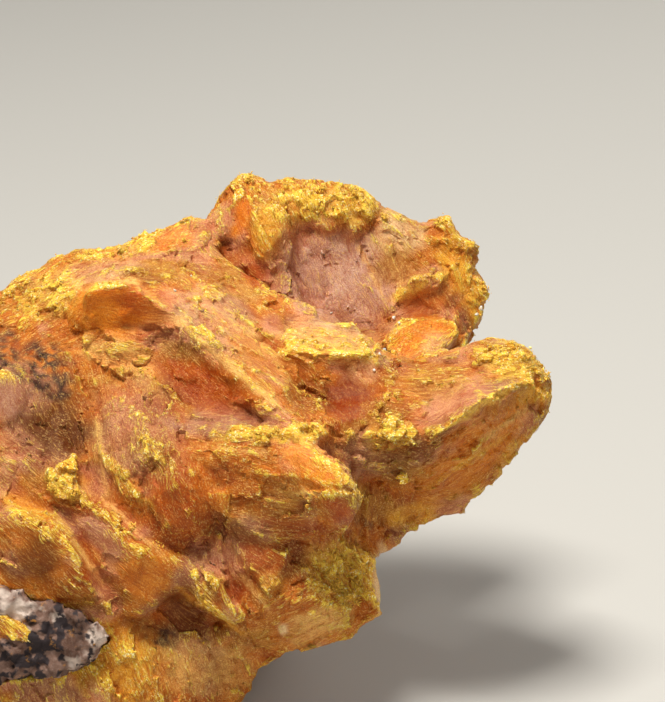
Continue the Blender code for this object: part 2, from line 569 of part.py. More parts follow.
def rough_heights(points, size, height):
    return height * np.array([
        noise.fractal(Vector(point) / size, 0.8, 2.0, 4) for point in points
    ])


def front_share(normals):
    """How much each point faces the front: 1 straight at the viewer, 0 away."""
    toward = np.array([0, -math.cos(VIEW_TILT), math.sin(VIEW_TILT)])
    return np.clip(normals @ toward * 2 + 0.6, 0, 1)


def thin_out(obj, triangles):
    """Melts flat stretches together until about this many triangles are left."""
    count = sum(len(face.vertices) - 2 for face in obj.data.polygons)
    fewer = obj.modifiers.new("fewer faces", "DECIMATE")
    fewer.ratio = triangles / count
    fewer.use_collapse_triangulate = True
    settle(obj)


def add_floor_cutter():
    """A slab under the floor: what the lump stands on is flat where it is cut away."""
    build = bmesh.new()
    bmesh.ops.create_cube(build, size=160)
    bmesh.ops.translate(build, verts=build.verts, vec=(0, 0, -80))
    mesh = bpy.data.meshes.new("floor_cutter")
    build.to_mesh(mesh)
    build.free()
    return make_cutter(add_object("floor_cutter", mesh))


def make_cutter(obj):
    obj.hide_render = True
    obj.display_type = "WIRE"
    return obj


def cut(obj, cutter):
    away = obj.modifiers.new("cut by " + cutter.name, "BOOLEAN")
    away.operation = "DIFFERENCE"
    away.solver = "EXACT"
    away.object = cutter
    settle(obj)
    keep_largest_body(obj)


def finish(obj, colour, roughness):
    """Gives the object its material, its sharp edges and its size in metres."""
    material = bpy.data.materials.new(obj.name)
    material.use_nodes = True
    shader = material.node_tree.nodes["Principled BSDF"]
    shader.inputs["Base Color"].default_value = (*colour, 1)
    shader.inputs["Roughness"].default_value = roughness
    shader.inputs["Metallic"].default_value = 0
    obj.data.materials.clear()
    obj.data.materials.append(material)
    obj.data.shade_flat()
    obj.data.transform(Matrix.Scale(MM, 4))


def orpiment_lump():
    build = bmesh.new()
    add_front_shell(build)
    for blocks in (PROUD_BLOCKS, PLATE_BLOCKS, HIDDEN_BLOCKS):
        for front, thickness, narrowing in blocks.values():
            add_hull(build, front, thickness, narrowing)
    lump = grow_together("orpiment", build)
    points = mesh_points(lump.data)
    shown = front_share(mesh_normals(lump.data))
    heights = blade_heights(points) + rough_heights(points, 3.0, 0.12)
    for size, tilt in CHIPS:
        heights += chip_heights(points, size, tilt) * (1 - SMOOTHER_FRONT * shown)
    move_along_normals(lump, heights)
    thin_out(lump, ORPIMENT_TRIANGLES)
    return lump


def host_rock():
    """The rock, and the cutter for its pocket in the lump: the same shape, a little larger."""
    build = bmesh.new()
    for front, thickness, narrowing in ROCK_BLOCKS.values():
        add_hull(build, front, thickness, narrowing)
    rock = grow_together("host_rock", build)
    points = mesh_points(rock.data)
    move_along_normals(rock, rough_heights(points, 2.5, 0.3))
    pocket = make_cutter(add_object("pocket_cutter", rock.data.copy()))
    move_along_normals(pocket, np.full(len(points), POCKET_GAP))
    thin_out(rock, ROCK_TRIANGLES)
    thin_out(pocket, POCKET_TRIANGLES)
    return rock, pocket


def main():
    for obj in list(bpy.data.objects):
        bpy.data.objects.remove(obj)
    lump = orpiment_lump()
    rock, pocket = host_rock()
    floor = add_floor_cutter()
    cut(lump, pocket)
    cut(lump, floor)
    cut(rock, floor)
    finish(lump, *ORPIMENT_FINISH)
    finish(rock, *ROCK_FINISH)


main()
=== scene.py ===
# %% [markdown]
# # A lump of orpiment
# The specimen is one broken lump of a soft, foliated mineral with a patch of rock at its foot. The
# solids already have its main faces and ledges. This lesson gives them the surface of the real thing:
# blades that step over each other, satin cleavage faces, powdery lemon crust on every edge that
# catches the light, needles, grains and the mottled rock.

# %% Load the solids
import itertools
import math

import bmesh
import bpy
import numpy as np
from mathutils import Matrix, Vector, noise
from mathutils.bvhtree import BVHTree


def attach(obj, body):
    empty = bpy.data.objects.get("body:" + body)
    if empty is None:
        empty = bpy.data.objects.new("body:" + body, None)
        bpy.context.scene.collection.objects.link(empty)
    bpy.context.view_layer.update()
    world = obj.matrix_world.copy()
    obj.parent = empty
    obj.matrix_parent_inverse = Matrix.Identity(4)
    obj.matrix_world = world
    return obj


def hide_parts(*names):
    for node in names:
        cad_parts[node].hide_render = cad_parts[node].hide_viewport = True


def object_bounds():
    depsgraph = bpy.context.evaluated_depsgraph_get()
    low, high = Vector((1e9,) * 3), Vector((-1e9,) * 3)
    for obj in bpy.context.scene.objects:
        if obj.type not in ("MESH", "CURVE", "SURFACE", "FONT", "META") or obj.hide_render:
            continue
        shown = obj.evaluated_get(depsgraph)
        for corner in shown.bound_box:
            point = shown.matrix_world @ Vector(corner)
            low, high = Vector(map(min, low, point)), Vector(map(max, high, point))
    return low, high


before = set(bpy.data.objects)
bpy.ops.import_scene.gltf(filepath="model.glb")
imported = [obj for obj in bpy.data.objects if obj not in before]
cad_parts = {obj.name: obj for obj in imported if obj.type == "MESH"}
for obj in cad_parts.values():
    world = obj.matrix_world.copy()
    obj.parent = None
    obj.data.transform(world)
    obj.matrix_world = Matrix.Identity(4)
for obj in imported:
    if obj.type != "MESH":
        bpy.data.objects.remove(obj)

CAD_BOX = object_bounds()
MM = 0.001
print("solids:", sorted(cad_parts), "box:", CAD_BOX)

# %% [markdown]
# ## Where things are
# Almost everything on the lump is known from one side, the front. So a place is given the way one
# would point at it: how many millimetres across and down the front view, and how near to the viewer.
# The view looks down a little, from a third of a metre away, and things further back look smaller, so
# one function turns such a place into x, y and z, and another one turns it back.

# %% The front view
VIEW_TILT = math.radians(20)
VIEW_DISTANCE = 350.0
VIEW_ACROSS = 33.25
VIEW_DOWN = 35.1
FLOOR_DOWN = 74.5
MIDDLE_X = 14.9
MIDDLE_Y = 21.4

RIGHT = np.array([1.0, 0.0, 0.0])
UPWARD = np.array([0.0, math.sin(VIEW_TILT), math.cos(VIEW_TILT)])
TOWARD = np.array([0.0, -math.cos(VIEW_TILT), math.sin(VIEW_TILT)])


def place(across, down, near):
    """A place on the front view as x, y and z in millimetres."""
    spread = (VIEW_DISTANCE - near) / VIEW_DISTANCE
    side = VIEW_ACROSS + (across - VIEW_ACROSS) * spread
    height = FLOOR_DOWN - VIEW_DOWN + (VIEW_DOWN - down) * spread
    corner = np.array([-MIDDLE_X, -MIDDLE_Y, 0.0])
    return corner + side * RIGHT + height * UPWARD + near * TOWARD


def seen_from_front(points):
    """Across and down on the front view, and near, of rows of x, y and z in millimetres."""
    from_corner = points + np.array([MIDDLE_X, MIDDLE_Y, 0.0])
    near = from_corner @ TOWARD
    spread = (VIEW_DISTANCE - near) / VIEW_DISTANCE
    across = VIEW_ACROSS + (from_corner @ RIGHT - VIEW_ACROSS) / spread
    down = VIEW_DOWN - (from_corner @ UPWARD - FLOOR_DOWN + VIEW_DOWN) / spread
    return across, down, near


VIEWER = place(VIEW_ACROSS, VIEW_DOWN, VIEW_DISTANCE)
print("viewer at", VIEWER)

# %% [markdown]
# ## The camera
# A camera that stands where the viewer is shows the lump as the front view has it. Its sensor is
# 36 mm along the longer side of the picture, and that side spans 70.2 mm of the view.

# %% Camera
PICTURE_HEIGHT = 70.2
SENSOR = 36.0

camera_data = bpy.data.cameras.new("camera")
camera_data.sensor_width = SENSOR
camera_data.lens = SENSOR * VIEW_DISTANCE / PICTURE_HEIGHT
camera_data.clip_start = 0.01
camera = bpy.data.objects.new("camera", camera_data)
camera.location = VIEWER * MM
camera.rotation_euler = Vector(-TOWARD).to_track_quat("-Z", "Y").to_euler()
bpy.context.scene.collection.objects.link(camera)
bpy.context.scene.camera = camera
print("lens", round(camera_data.lens, 1), "mm")

# %% [markdown]
# ## Floor and light
# The lump stands on a plain pale sheet that curves up behind it, as in a small photo studio. The
# main lamp hangs over it, a little to the left and in front, so every edge that faces up is bright
# and every face below it falls into shade. A wide, weak one in front opens the shadows, and one from
# behind lights the rims.

# %% Floor
FLOOR_WIDTH = 2.4
FLOOR_FRONT = -1.2
FLOOR_BACK = 0.6
CURVE_RADIUS = 0.35
WALL_TOP = 1.6
CURVE_STEPS = 12


def sweep_floor():
    """The sheet as a strip of faces along its side profile."""
    profile = [(FLOOR_FRONT, 0.0)]
    for step in range(CURVE_STEPS + 1):
        turn = math.radians(90) * step / CURVE_STEPS
        profile.append((
            FLOOR_BACK + CURVE_RADIUS * math.sin(turn),
            CURVE_RADIUS * (1 - math.cos(turn)),
        ))
    profile.append((FLOOR_BACK + CURVE_RADIUS, WALL_TOP))
    corners = []
    for y, z in profile:
        corners += [(-FLOOR_WIDTH / 2, y, z), (FLOOR_WIDTH / 2, y, z)]
    faces = [(2 * n, 2 * n + 1, 2 * n + 3, 2 * n + 2) for n in range(len(profile) - 1)]
    mesh = bpy.data.meshes.new("floor")
    mesh.from_pydata(corners, [], faces)
    mesh.shade_smooth()
    sheet = bpy.data.objects.new("floor", mesh)
    bpy.context.scene.collection.objects.link(sheet)
    return sheet


floor = sweep_floor()

# %% Lamps
# Where each one hangs and how wide it is, in metres, and its power in watts.
LAMPS = {
    "lamp over": ((-0.06, -0.08, 0.44), 0.14, 2.75),
    "lamp front": ((0.16, -0.48, 0.16), 0.40, 0.6),
    "lamp behind": ((0.22, 0.30, 0.30), 0.25, 0.7),
}
LIT_PLACE = Vector((0.005, 0.0, 0.025))
LAMP_COLOUR = (1.0, 0.97, 0.9)
SKY = (1.0, 0.98, 0.95, 1.0)
SKY_STRENGTH = 0.17

for name, (spot, size, power) in LAMPS.items():
    lamp = bpy.data.lights.new(name, "AREA")
    lamp.color = LAMP_COLOUR
    lamp.shape = "SQUARE"
    lamp.size = size
    lamp.energy = power
    holder = bpy.data.objects.new(name, lamp)
    holder.location = spot
    holder.rotation_euler = (LIT_PLACE - Vector(spot)).to_track_quat("-Z", "Y").to_euler()
    bpy.context.scene.collection.objects.link(holder)

world = bpy.data.worlds.new("studio")
world.use_nodes = True
world.node_tree.nodes["Background"].inputs["Color"].default_value = SKY
world.node_tree.nodes["Background"].inputs["Strength"].default_value = SKY_STRENGTH
bpy.context.scene.world = world
bpy.context.scene.view_settings.view_transform = "Standard"

# %% [markdown]
# ## Shader sums in plain Python
# A material is a sum of masks and colours. Wiring that by hand hides the idea, so one small class
# wraps a socket and lets Python's own signs add the Math nodes. Every other kind of node comes from
# `make`, which takes the node's type, its settings and what goes into its sockets.

# %% The recipe class
def tint(red, green, blue):
    """A colour as one reads it from a paint chart, 0 to 255, in the linear form shaders need."""
    linear = []
    for part in (red, green, blue):
        share = part / 255
        linear.append(share / 12.92 if share <= 0.04045 else ((share + 0.055) / 1.055) ** 2.4)
    return (*linear, 1.0)


class Wire:
    """One output of a node. Sums and products with it add Math nodes."""

    def __init__(self, recipe, socket):
        self.recipe = recipe
        self.socket = socket

    def sum(self, operation, one, other):
        return self.recipe.make("ShaderNodeMath", {"operation": operation}, {0: one, 1: other})

    def __add__(self, other):
        return self.sum("ADD", self, other)

    def __radd__(self, other):
        return self.sum("ADD", other, self)

    def __sub__(self, other):
        return self.sum("SUBTRACT", self, other)

    def __rsub__(self, other):
        return self.sum("SUBTRACT", other, self)

    def __mul__(self, other):
        return self.sum("MULTIPLY", self, other)

    def __rmul__(self, other):
        return self.sum("MULTIPLY", other, self)

    def step(self, low, high):
        """0 below low, 1 above high, and a soft slope between them."""
        settings = {"interpolation_type": "SMOOTHSTEP", "clamp": True}
        sockets = {"Value": self, "From Min": low, "From Max": high}
        return self.recipe.make("ShaderNodeMapRange", settings, sockets)

    def clip(self):
        return self.recipe.make("ShaderNodeClamp", {}, {"Value": self})


class Recipe:
    """The nodes of one material."""

    def __init__(self, name):
        self.material = bpy.data.materials.new(name)
        self.material.use_nodes = True
        self.tree = self.material.node_tree
        self.shader = self.tree.nodes["Principled BSDF"]

    def make(self, kind, settings, sockets, output=0):
        """Adds a node: first its settings, then numbers, colours or wires for its sockets."""
        node = self.tree.nodes.new(kind)
        for name, value in settings.items():
            setattr(node, name, value)
        self.fill(node, sockets)
        return Wire(self, node.outputs[output])

    def fill(self, node, sockets):
        for name, value in sockets.items():
            if isinstance(value, Wire):
                self.tree.links.new(value.socket, node.inputs[name])
            else:
                node.inputs[name].default_value = value

    def blend(self, mask, one, other, kind="MIX"):
        """The first colour where the mask is 0 and the second where it is 1."""
        settings = {"data_type": "RGBA", "blend_type": kind}
        return self.make("ShaderNodeMix", settings, {0: mask, 6: one, 7: other}, output=2)

    def multiply(self, mask, one, other):
        """The first colour where the mask is 0 and the product of both where it is 1."""
        return self.blend(mask, one, other, "MULTIPLY")

    def attribute(self, name, output="Fac"):
        """A value or colour that was stored for each point of the mesh."""
        return self.make("ShaderNodeAttribute", {"attribute_name": name}, {}, output=output)

    def place(self):
        """Where a point of the surface is, in millimetres."""
        spot = self.make("ShaderNodeTexCoord", {}, {}, output="Object")
        return self.make("ShaderNodeVectorMath", {"operation": "SCALE"}, {0: spot, "Scale": 1 / MM})

    def grain(self, where, size, detail=3.0, roughness=0.55, distortion=0.0):
        """Cloudy noise from 0 to 1, with lumps of the given size in millimetres."""
        sockets = {"Vector": where, "Scale": 1 / size, "Detail": detail, "Roughness": roughness,
                   "Distortion": distortion}
        return self.make("ShaderNodeTexNoise", {}, sockets)

    def cells(self, where, size, feature="F1", output="Distance"):
        sockets = {"Vector": where, "Scale": 1 / size}
        return self.make("ShaderNodeTexVoronoi", {"feature": feature}, sockets, output=output)

    def bump(self, height, strength, depth):
        """A bump from heights from 0 to 1 that stand for a depth in millimetres."""
        sockets = {"Height": height, "Strength": strength, "Distance": depth * MM}
        return self.make("ShaderNodeBump", {}, sockets)


def glow(weight, reach, depth):
    """Sockets that let light a little way in: how much, how far for red, green and blue, depth."""
    return {"Subsurface Weight": weight, "Subsurface Radius": reach, "Subsurface Scale": depth * MM}


def dress(piece, material):
    piece.data.materials.clear()
    piece.data.materials.append(material)


# %% Floor finish
floor_recipe = Recipe("floor")
floor_recipe.fill(floor_recipe.shader, {"Base Color": tint(188, 186, 182), "Roughness": 0.75})
dress(floor, floor_recipe.material)

# %% [markdown]
# ## Meshes as arrays
# The surface has three hundred thousand points, so it is worked on with numpy: all points at once as
# rows of x, y and z. These helpers read and write a mesh that way, and smooth any value over the
# surface by averaging it with its neighbours.

# %% Array helpers
def points_of(mesh):
    flat = np.empty(len(mesh.vertices) * 3, dtype=np.float32)
    mesh.vertices.foreach_get("co", flat)
    return flat.reshape(-1, 3).astype(float)


def set_points(mesh, points):
    mesh.vertices.foreach_set("co", points.astype(np.float32).ravel())
    mesh.update()


def normals_of(mesh):
    flat = np.empty(len(mesh.vertices) * 3, dtype=np.float32)
    mesh.vertex_normals.foreach_get("vector", flat)
    return flat.reshape(-1, 3).astype(float)


def smoothed(mesh, values, rounds):
    """The values of the points, each averaged with those around it this many times."""
    ends = np.empty(len(mesh.edges) * 2, dtype=np.int32)
    mesh.edges.foreach_get("vertices", ends)
    one, other = ends.reshape(-1, 2).T
    count = np.bincount(ends, minlength=len(mesh.vertices)).astype(float)
    columns = values.reshape(len(values), -1).astype(float)
    for _ in range(rounds):
        averages = []
        for column in columns.T:
            total = np.bincount(one, weights=column[other], minlength=len(count))
            total += np.bincount(other, weights=column[one], minlength=len(count))
            averages.append(0.5 * column + 0.5 * total / count)
        columns = np.stack(averages, axis=1)
    return columns.reshape(values.shape)


def soft_step(values, low, high):
    share = np.clip((values - low) / (high - low), 0, 1)
    return share * share * (3 - 2 * share)


def unit(rows):
    """The rows, each made one unit long."""
    return rows / np.linalg.norm(rows, axis=1)[:, None]


def new_object(name, mesh):
    piece = bpy.data.objects.new(name, mesh)
    bpy.context.scene.collection.objects.link(piece)
    return piece


# %% Helpers that remake a mesh
def settle(piece):
    """Gives the object the mesh that its modifiers make, and clears them."""
    graph = bpy.context.evaluated_depsgraph_get()
    made = bpy.data.meshes.new_from_object(piece.evaluated_get(graph))
    piece.modifiers.clear()
    piece.data = made


def skin_of(name, build, cell):
    """One even skin around everything in the bmesh, with faces of the given size."""
    bmesh.ops.recalc_face_normals(build, faces=build.faces)
    mesh = bpy.data.meshes.new(name)
    build.to_mesh(mesh)
    build.free()
    piece = new_object(name, mesh)
    skin = piece.modifiers.new("skin", "REMESH")
    skin.mode = "VOXEL"
    skin.voxel_size = cell
    settle(piece)
    return piece


def triangles_in(mesh):
    return sum(len(face.vertices) - 2 for face in mesh.polygons)


def thin_out(piece, triangles):
    fewer = piece.modifiers.new("fewer faces", "DECIMATE")
    fewer.ratio = min(1.0, triangles / triangles_in(piece.data))
    settle(piece)


# %% [markdown]
# ## Chance that repeats
# Broken stone needs chance, and a lesson needs the same stone each time. Smooth wandering comes from
# Blender's own noise. Flat chips come from cells: space is divided into cubes, each cube holds one
# point and one slope from a fixed scrambling of its numbers, and every place takes the slope of the
# nearest point.

# %% Noise helpers
def wander(points, size, depth=2, salt=0.0):
    """Smooth noise from about -1 to 1, with lumps of the given size in millimetres."""
    shift = Vector((salt, salt * 0.7, -salt))
    return np.array([
        noise.fractal(Vector(point) / size + shift, 1.0, 2.0, depth) for point in points
    ])


def chance(cells, salt):
    """Numbers from 0 to 1, one for each row of cells: scattered, but the same each time."""
    return np.mod(np.sin(cells @ np.array([127.1, 311.7, 74.7]) + salt * 19.19) * 43758.5453, 1.0)


def chips(points, size, tilt, salt=0.0, lift=0.0):
    """Flat faces at chance angles, as wide as size, sloping by up to tilt and raised by up to lift."""
    spots = points / size
    home = np.floor(spots)
    heights = np.zeros(len(points))
    nearest = np.full(len(points), np.inf)
    for step in itertools.product((-1, 0, 1), repeat=3):
        cells = home + step
        middles = cells + np.stack([chance(cells, salt + n) for n in (0, 1, 2)], axis=1)
        slopes = unit(np.stack([chance(cells, salt + n) - 0.5 for n in (3, 4, 5)], axis=1))
        away = spots - middles
        distances = (away ** 2).sum(axis=1)
        closer = distances < nearest
        nearest[closer] = distances[closer]
        raised = tilt * size * (away * slopes).sum(axis=1) + lift * (chance(cells, salt + 6) - 0.5)
        heights[closer] = raised[closer]
    return heights


# %% [markdown]
# ## The lump as one skin
# The solid of the lump is faceted. Its copy is laid under small forms that were too fine for it:
# thin crests along the ridges, knobs, and blades that lie in bundles. Each is placed by pointing at
# it on the front view, and a ray from the viewer finds the surface it sits on. Then a voxel skin
# grows over all of it at once, so nothing is left that could show a seam.

# %% A copy of the solid in millimetres
def copy_of_node(name):
    """A bmesh of a node in millimetres, with the points that lie on each other joined."""
    build = bmesh.new()
    build.from_mesh(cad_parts[name].data)
    bmesh.ops.scale(build, verts=build.verts, vec=(1 / MM, 1 / MM, 1 / MM))
    bmesh.ops.remove_doubles(build, verts=build.verts, dist=0.002)
    return build


lump_build = copy_of_node("orpiment")
rock_build = copy_of_node("host_rock")
lump_surface = BVHTree.FromBMesh(lump_build)
rock_surface = BVHTree.FromBMesh(rock_build)
print("copied:", len(lump_build.faces), "and", len(rock_build.faces), "faces")


def nearness(across, down, surface=lump_surface):
    """How near to the viewer the surface is at that place of the front view, or None beside it."""
    start = Vector(VIEWER)
    aim = Vector(place(across, down, 0)) - start
    hit = surface.ray_cast(start, aim)[0]
    if hit is None:
        return None
    return float(seen_from_front(np.array([hit]))[2][0])


# %% Forms on the surface
def add_hull(build, corners):
    made = [build.verts.new(corner) for corner in corners]
    skin = bmesh.ops.convex_hull(build, input=made)
    unused = set(skin["geom_interior"]) | set(skin["geom_unused"])
    inside = [item for item in unused if isinstance(item, bmesh.types.BMVert)]
    bmesh.ops.delete(build, geom=inside, context="VERTS")


def add_crest(build, line, width, proud):
    """A thin roof along a line of the front view, standing proud of the surface."""
    steps = []
    for across, down in line:
        near = nearness(across, down)
        if near is not None:
            steps.append((across, down, near))
    for one, other in zip(steps, steps[1:]):
        along = np.array([other[0] - one[0], other[1] - one[1]])
        along /= np.linalg.norm(along)
        beside = np.array([-along[1], along[0]]) * width / 2
        corners = []
        for across, down, near in (one, other):
            corners.append(place(across + beside[0], down + beside[1], near - width))
            corners.append(place(across - beside[0], down - beside[1], near - width))
            corners.append(place(across, down, near + proud))
        add_hull(build, corners)


def add_knob(build, across, down, radius, proud):
    """A blunt six-sided knob."""
    near = nearness(across, down)
    corners = []
    for side in range(6):
        turn = math.radians(60 * side + 37 * across)
        for share, out in ((1.0, -1.0), (0.9, 0.4 * proud), (0.45, proud)):
            corners.append(place(
                across + radius * share * math.cos(turn),
                down + radius * share * math.sin(turn),
                near + out,
            ))
    add_hull(build, corners)


# Share of the length, of the half width and of the height, from a blade's root to its tip.
BLADE_SHAPE = ((0.0, 0.6, 0.5), (0.12, 1.0, 1.0), (0.85, 1.0, 1.0), (1.0, 0.3, 0.4))
BLADE_SUNK = 1.0


def add_blade(build, start, end, width, proud):
    """A flat blade with a ridge down its middle, from one place of the front view to another."""
    along = np.array([end[0] - start[0], end[1] - start[1]])
    length = np.linalg.norm(along)
    along /= length
    beside = np.array([-along[1], along[0]]) * width / 2
    corners = []
    for share, half, rise in BLADE_SHAPE:
        spot = np.array(start) + along * length * share
        near = nearness(*spot)
        if near is None:
            continue
        for side in (-1, 1):
            edge = spot + beside * side * half
            corners.append(place(edge[0], edge[1], near + proud * rise * 0.5))
            corners.append(place(edge[0], edge[1], near - BLADE_SUNK))
        corners.append(place(spot[0], spot[1], near + proud * rise))
    if len(corners) >= 10:
        add_hull(build, corners)


# %% Slabs, and the cleavage faces
def add_slab(build, corners, depth):
    """A slab from across, down, the nearness of the surface there, and how proud its face stands."""
    ends = []
    for across, down, near, proud in corners:
        ends += [place(across, down, near + proud), place(across, down, near - depth)]
    add_hull(build, ends)


# Flat cleavage faces: corners as across, down and how far each stands proud of the solid.
CLEAVAGES = {
    "shard_left": [(8.3, 29.7, 0.5), (9.5, 28.3, 0.8), (11.8, 28.2, 0.7), (13.0, 31.2, 0.5),
                   (11.6, 33.1, 0.3), (9.4, 32.3, 0.4)],
    "shard_right": [(11.9, 28.3, 0.5), (13.6, 28.6, 0.6), (16.6, 30.8, 0.4), (14.6, 32.6, 0.3),
                    (13.1, 31.2, 0.1)],
    "slope_high": [(18.6, 28.4, 0.2), (21.6, 28.6, 0.4), (25.4, 32.4, 0.4), (24.2, 33.8, 0.3),
                   (20.2, 31.6, 0.3)],
    "slope_low": [(22.4, 33.6, 0.3), (26.2, 34.2, 0.4), (29.2, 37.8, 0.4), (28.4, 39.6, 0.3),
                  (24.6, 36.6, 0.3)],
    "ledge_top": [(28.8, 33.6, 0.3), (32.0, 32.8, 0.4), (36.4, 34.2, 0.4), (37.6, 35.6, 0.3),
                  (31.0, 35.6, 0.4)],
    "band": [(19.6, 42.6, 0.3), (22.8, 41.6, 0.6), (27.0, 43.4, 0.5), (26.0, 45.0, 0.5),
             (21.6, 44.6, 0.3)],
    "band_fold": [(21.0, 45.0, 0.3), (25.6, 45.4, 0.6), (27.2, 47.6, 0.4), (23.4, 47.4, 0.3)],
    "lip_top": [(27.6, 45.2, 0.5), (28.8, 44.4, 0.7), (31.0, 44.6, 0.8), (33.8, 46.8, 0.8),
                (35.2, 48.6, 0.8), (32.4, 48.6, 0.5), (29.4, 47.8, 0.4)],
    "lip_front": [(29.6, 48.8, 0.3), (32.6, 49.3, 0.5), (35.4, 49.3, 0.5), (35.0, 51.6, 0.4),
                  (33.6, 52.6, 0.3), (31.4, 51.2, 0.3)],
    "bulge_shell": [(9.6, 41.0, 0.2), (11.6, 39.4, 0.4), (14.6, 41.6, 0.6), (15.6, 46.0, 0.5),
                    (12.4, 47.8, 0.5), (10.0, 45.2, 0.3)],
    "bulge_low": [(15.0, 47.2, 0.3), (19.4, 46.8, 0.5), (21.8, 50.2, 0.5), (20.6, 53.2, 0.3),
                  (16.8, 52.4, 0.4)],
    "tile": [(7.2, 51.6, 0.3), (10.4, 52.6, 0.5), (14.2, 55.2, 0.5), (13.6, 58.0, 0.3),
             (10.0, 57.2, 0.3)],
    "triangle": [(23.4, 54.4, 0.4), (28.8, 55.0, 0.5), (27.0, 59.8, 0.4), (25.2, 57.6, 0.3)],
    "tooth": [(18.8, 57.0, 0.3), (21.4, 57.6, 0.5), (23.4, 61.4, 0.4), (20.8, 60.8, 0.3)],
    "foot": [(26.4, 60.6, 0.3), (31.4, 59.8, 0.5), (36.6, 60.6, 0.3), (35.0, 62.8, 0.4),
             (28.6, 64.2, 0.4)],
    "prong_high": [(43.6, 41.8, 0.3), (47.0, 38.9, 0.4), (51.6, 37.6, 0.3), (49.4, 39.6, 0.5),
                   (45.6, 43.0, 0.5)],
    "prong_low": [(44.8, 44.8, 0.3), (49.6, 41.0, 0.4), (53.4, 40.6, 0.3), (51.0, 44.6, 0.3),
                  (46.6, 47.4, 0.3)],
    "shard_apron": [(8.0, 31.2, 0.6), (12.0, 33.0, 0.5), (15.4, 33.4, 0.4), (14.8, 36.0, 0.5),
                    (11.0, 36.6, 0.3), (8.4, 35.4, 0.4)],
    "shard_end": [(6.6, 29.4, 0.4), (8.4, 28.8, 0.5), (9.2, 31.6, 0.5), (8.8, 33.4, 0.4),
                  (6.8, 33.0, 0.3)],
    "round_facet": [(25.0, 21.4, 0.3), (26.6, 20.8, 0.5), (28.0, 21.4, 0.4), (28.2, 23.6, 0.4),
                    (27.0, 25.2, 0.4), (25.2, 24.6, 0.3)],
    "notch": [(20.8, 49.4, 0.4), (22.6, 49.0, 0.6), (23.2, 52.0, 0.5), (21.4, 53.0, 0.3)],
    "left": [(-1.0, 38.4, 0.3), (2.0, 37.6, 0.4), (2.6, 40.0, 0.3), (1.4, 42.0, 0.3),
             (-1.0, 42.6, 0.3)],
}
CLEAVAGE_DEPTH = 1.2

for face in CLEAVAGES.values():
    corners = [(across, down, nearness(across, down), proud) for across, down, proud in face]
    add_slab(lump_build, corners, CLEAVAGE_DEPTH)
print("cleavage faces:", len(CLEAVAGES))

# %% Crests
# The line, its width and how proud it stands.
CRESTS = {
    "main_ridge": ([(16.8, 30.9), (18.6, 32.5), (20.5, 34.6), (23.0, 37.0), (25.8, 39.4),
                    (28.6, 41.4)], 0.35, 0.12),
    "shard_rim": ([(8.1, 29.5), (9.6, 28.4), (11.4, 28.1), (13.4, 28.5), (16.6, 30.7)], 0.5, 0.6),
    "shard_crease": ([(12.2, 28.8), (12.6, 30.0), (13.2, 31.2)], 0.4, 0.2),
    "yellow_fin": ([(17.0, 24.6), (17.6, 26.0), (18.3, 27.3)], 0.7, 0.6),
    "prong_ridge": ([(43.4, 43.6), (45.3, 42.3), (47.4, 40.5), (49.2, 39.4), (51.0, 38.6),
                     (52.6, 38.0)], 0.6, 0.45),
    "lip_rim": ([(27.0, 44.8), (28.6, 44.2), (30.6, 44.3), (32.1, 45.7), (34.0, 46.7),
                 (35.2, 48.1), (35.7, 49.6), (35.6, 51.0)], 0.7, 0.4),
    "lip_step": ([(29.9, 49.2), (31.6, 49.6), (33.4, 49.4), (34.8, 49.4)], 0.55, 0.3),
    "ledge_edge": ([(28.2, 33.2), (30.6, 32.7), (33.0, 32.9), (35.4, 33.8), (37.8, 35.0)], 0.5, 0.3),
    "ledge_low": ([(27.8, 35.4), (30.0, 35.2), (33.2, 35.4), (36.4, 35.8)], 0.5, 0.3),
    "bowl_rim": ([(32.0, 42.0), (34.4, 42.1), (36.6, 41.6), (38.4, 40.2), (39.2, 38.0)], 0.6, 0.3),
    "crumb_ridge": ([(22.8, 43.8), (25.4, 43.2), (28.0, 43.0), (30.4, 42.6), (33.0, 43.2)], 0.8, 0.5),
    "bulge_left_edge": ([(9.6, 48.6), (11.2, 50.4), (12.8, 52.4), (14.8, 54.2), (16.6, 55.4)],
                        0.45, 0.25),
    "bulge_right_edge": ([(21.3, 47.8), (22.2, 50.0), (22.2, 52.4), (21.8, 54.2)], 0.45, 0.25),
    "tile_edge": ([(6.6, 51.2), (8.8, 53.6), (10.4, 57.6)], 0.4, 0.25),
    "foot_edge": ([(17.8, 58.4), (19.6, 60.2), (21.4, 61.4), (24.0, 62.6)], 0.5, 0.3),
    "left_band": ([(0.2, 49.6), (2.4, 50.6), (4.6, 51.4), (6.2, 51.8)], 0.6, 0.3),
    "wedge_edge": ([(23.6, 56.6), (25.2, 58.4), (26.8, 60.2)], 0.4, 0.25),
    "triangle_top": ([(22.6, 53.9), (25.2, 54.6), (27.6, 55.0), (30.0, 54.8)], 0.45, 0.25),
    "hook": ([(39.2, 31.0), (40.2, 29.0), (41.4, 28.0), (43.0, 27.6), (44.2, 27.8)], 0.6, 0.35),
    "plate_vein_right": ([(35.6, 24.4), (36.2, 27.0), (37.4, 29.4), (38.6, 31.2)], 0.4, 0.2),
    "pale_face_rim": ([(0.2, 36.8), (2.2, 37.2), (2.9, 39.0), (2.4, 41.2)], 0.4, 0.2),
}
for line, width, proud in CRESTS.values():
    add_crest(lump_build, line, width, proud)
print("crests:", len(CRESTS))

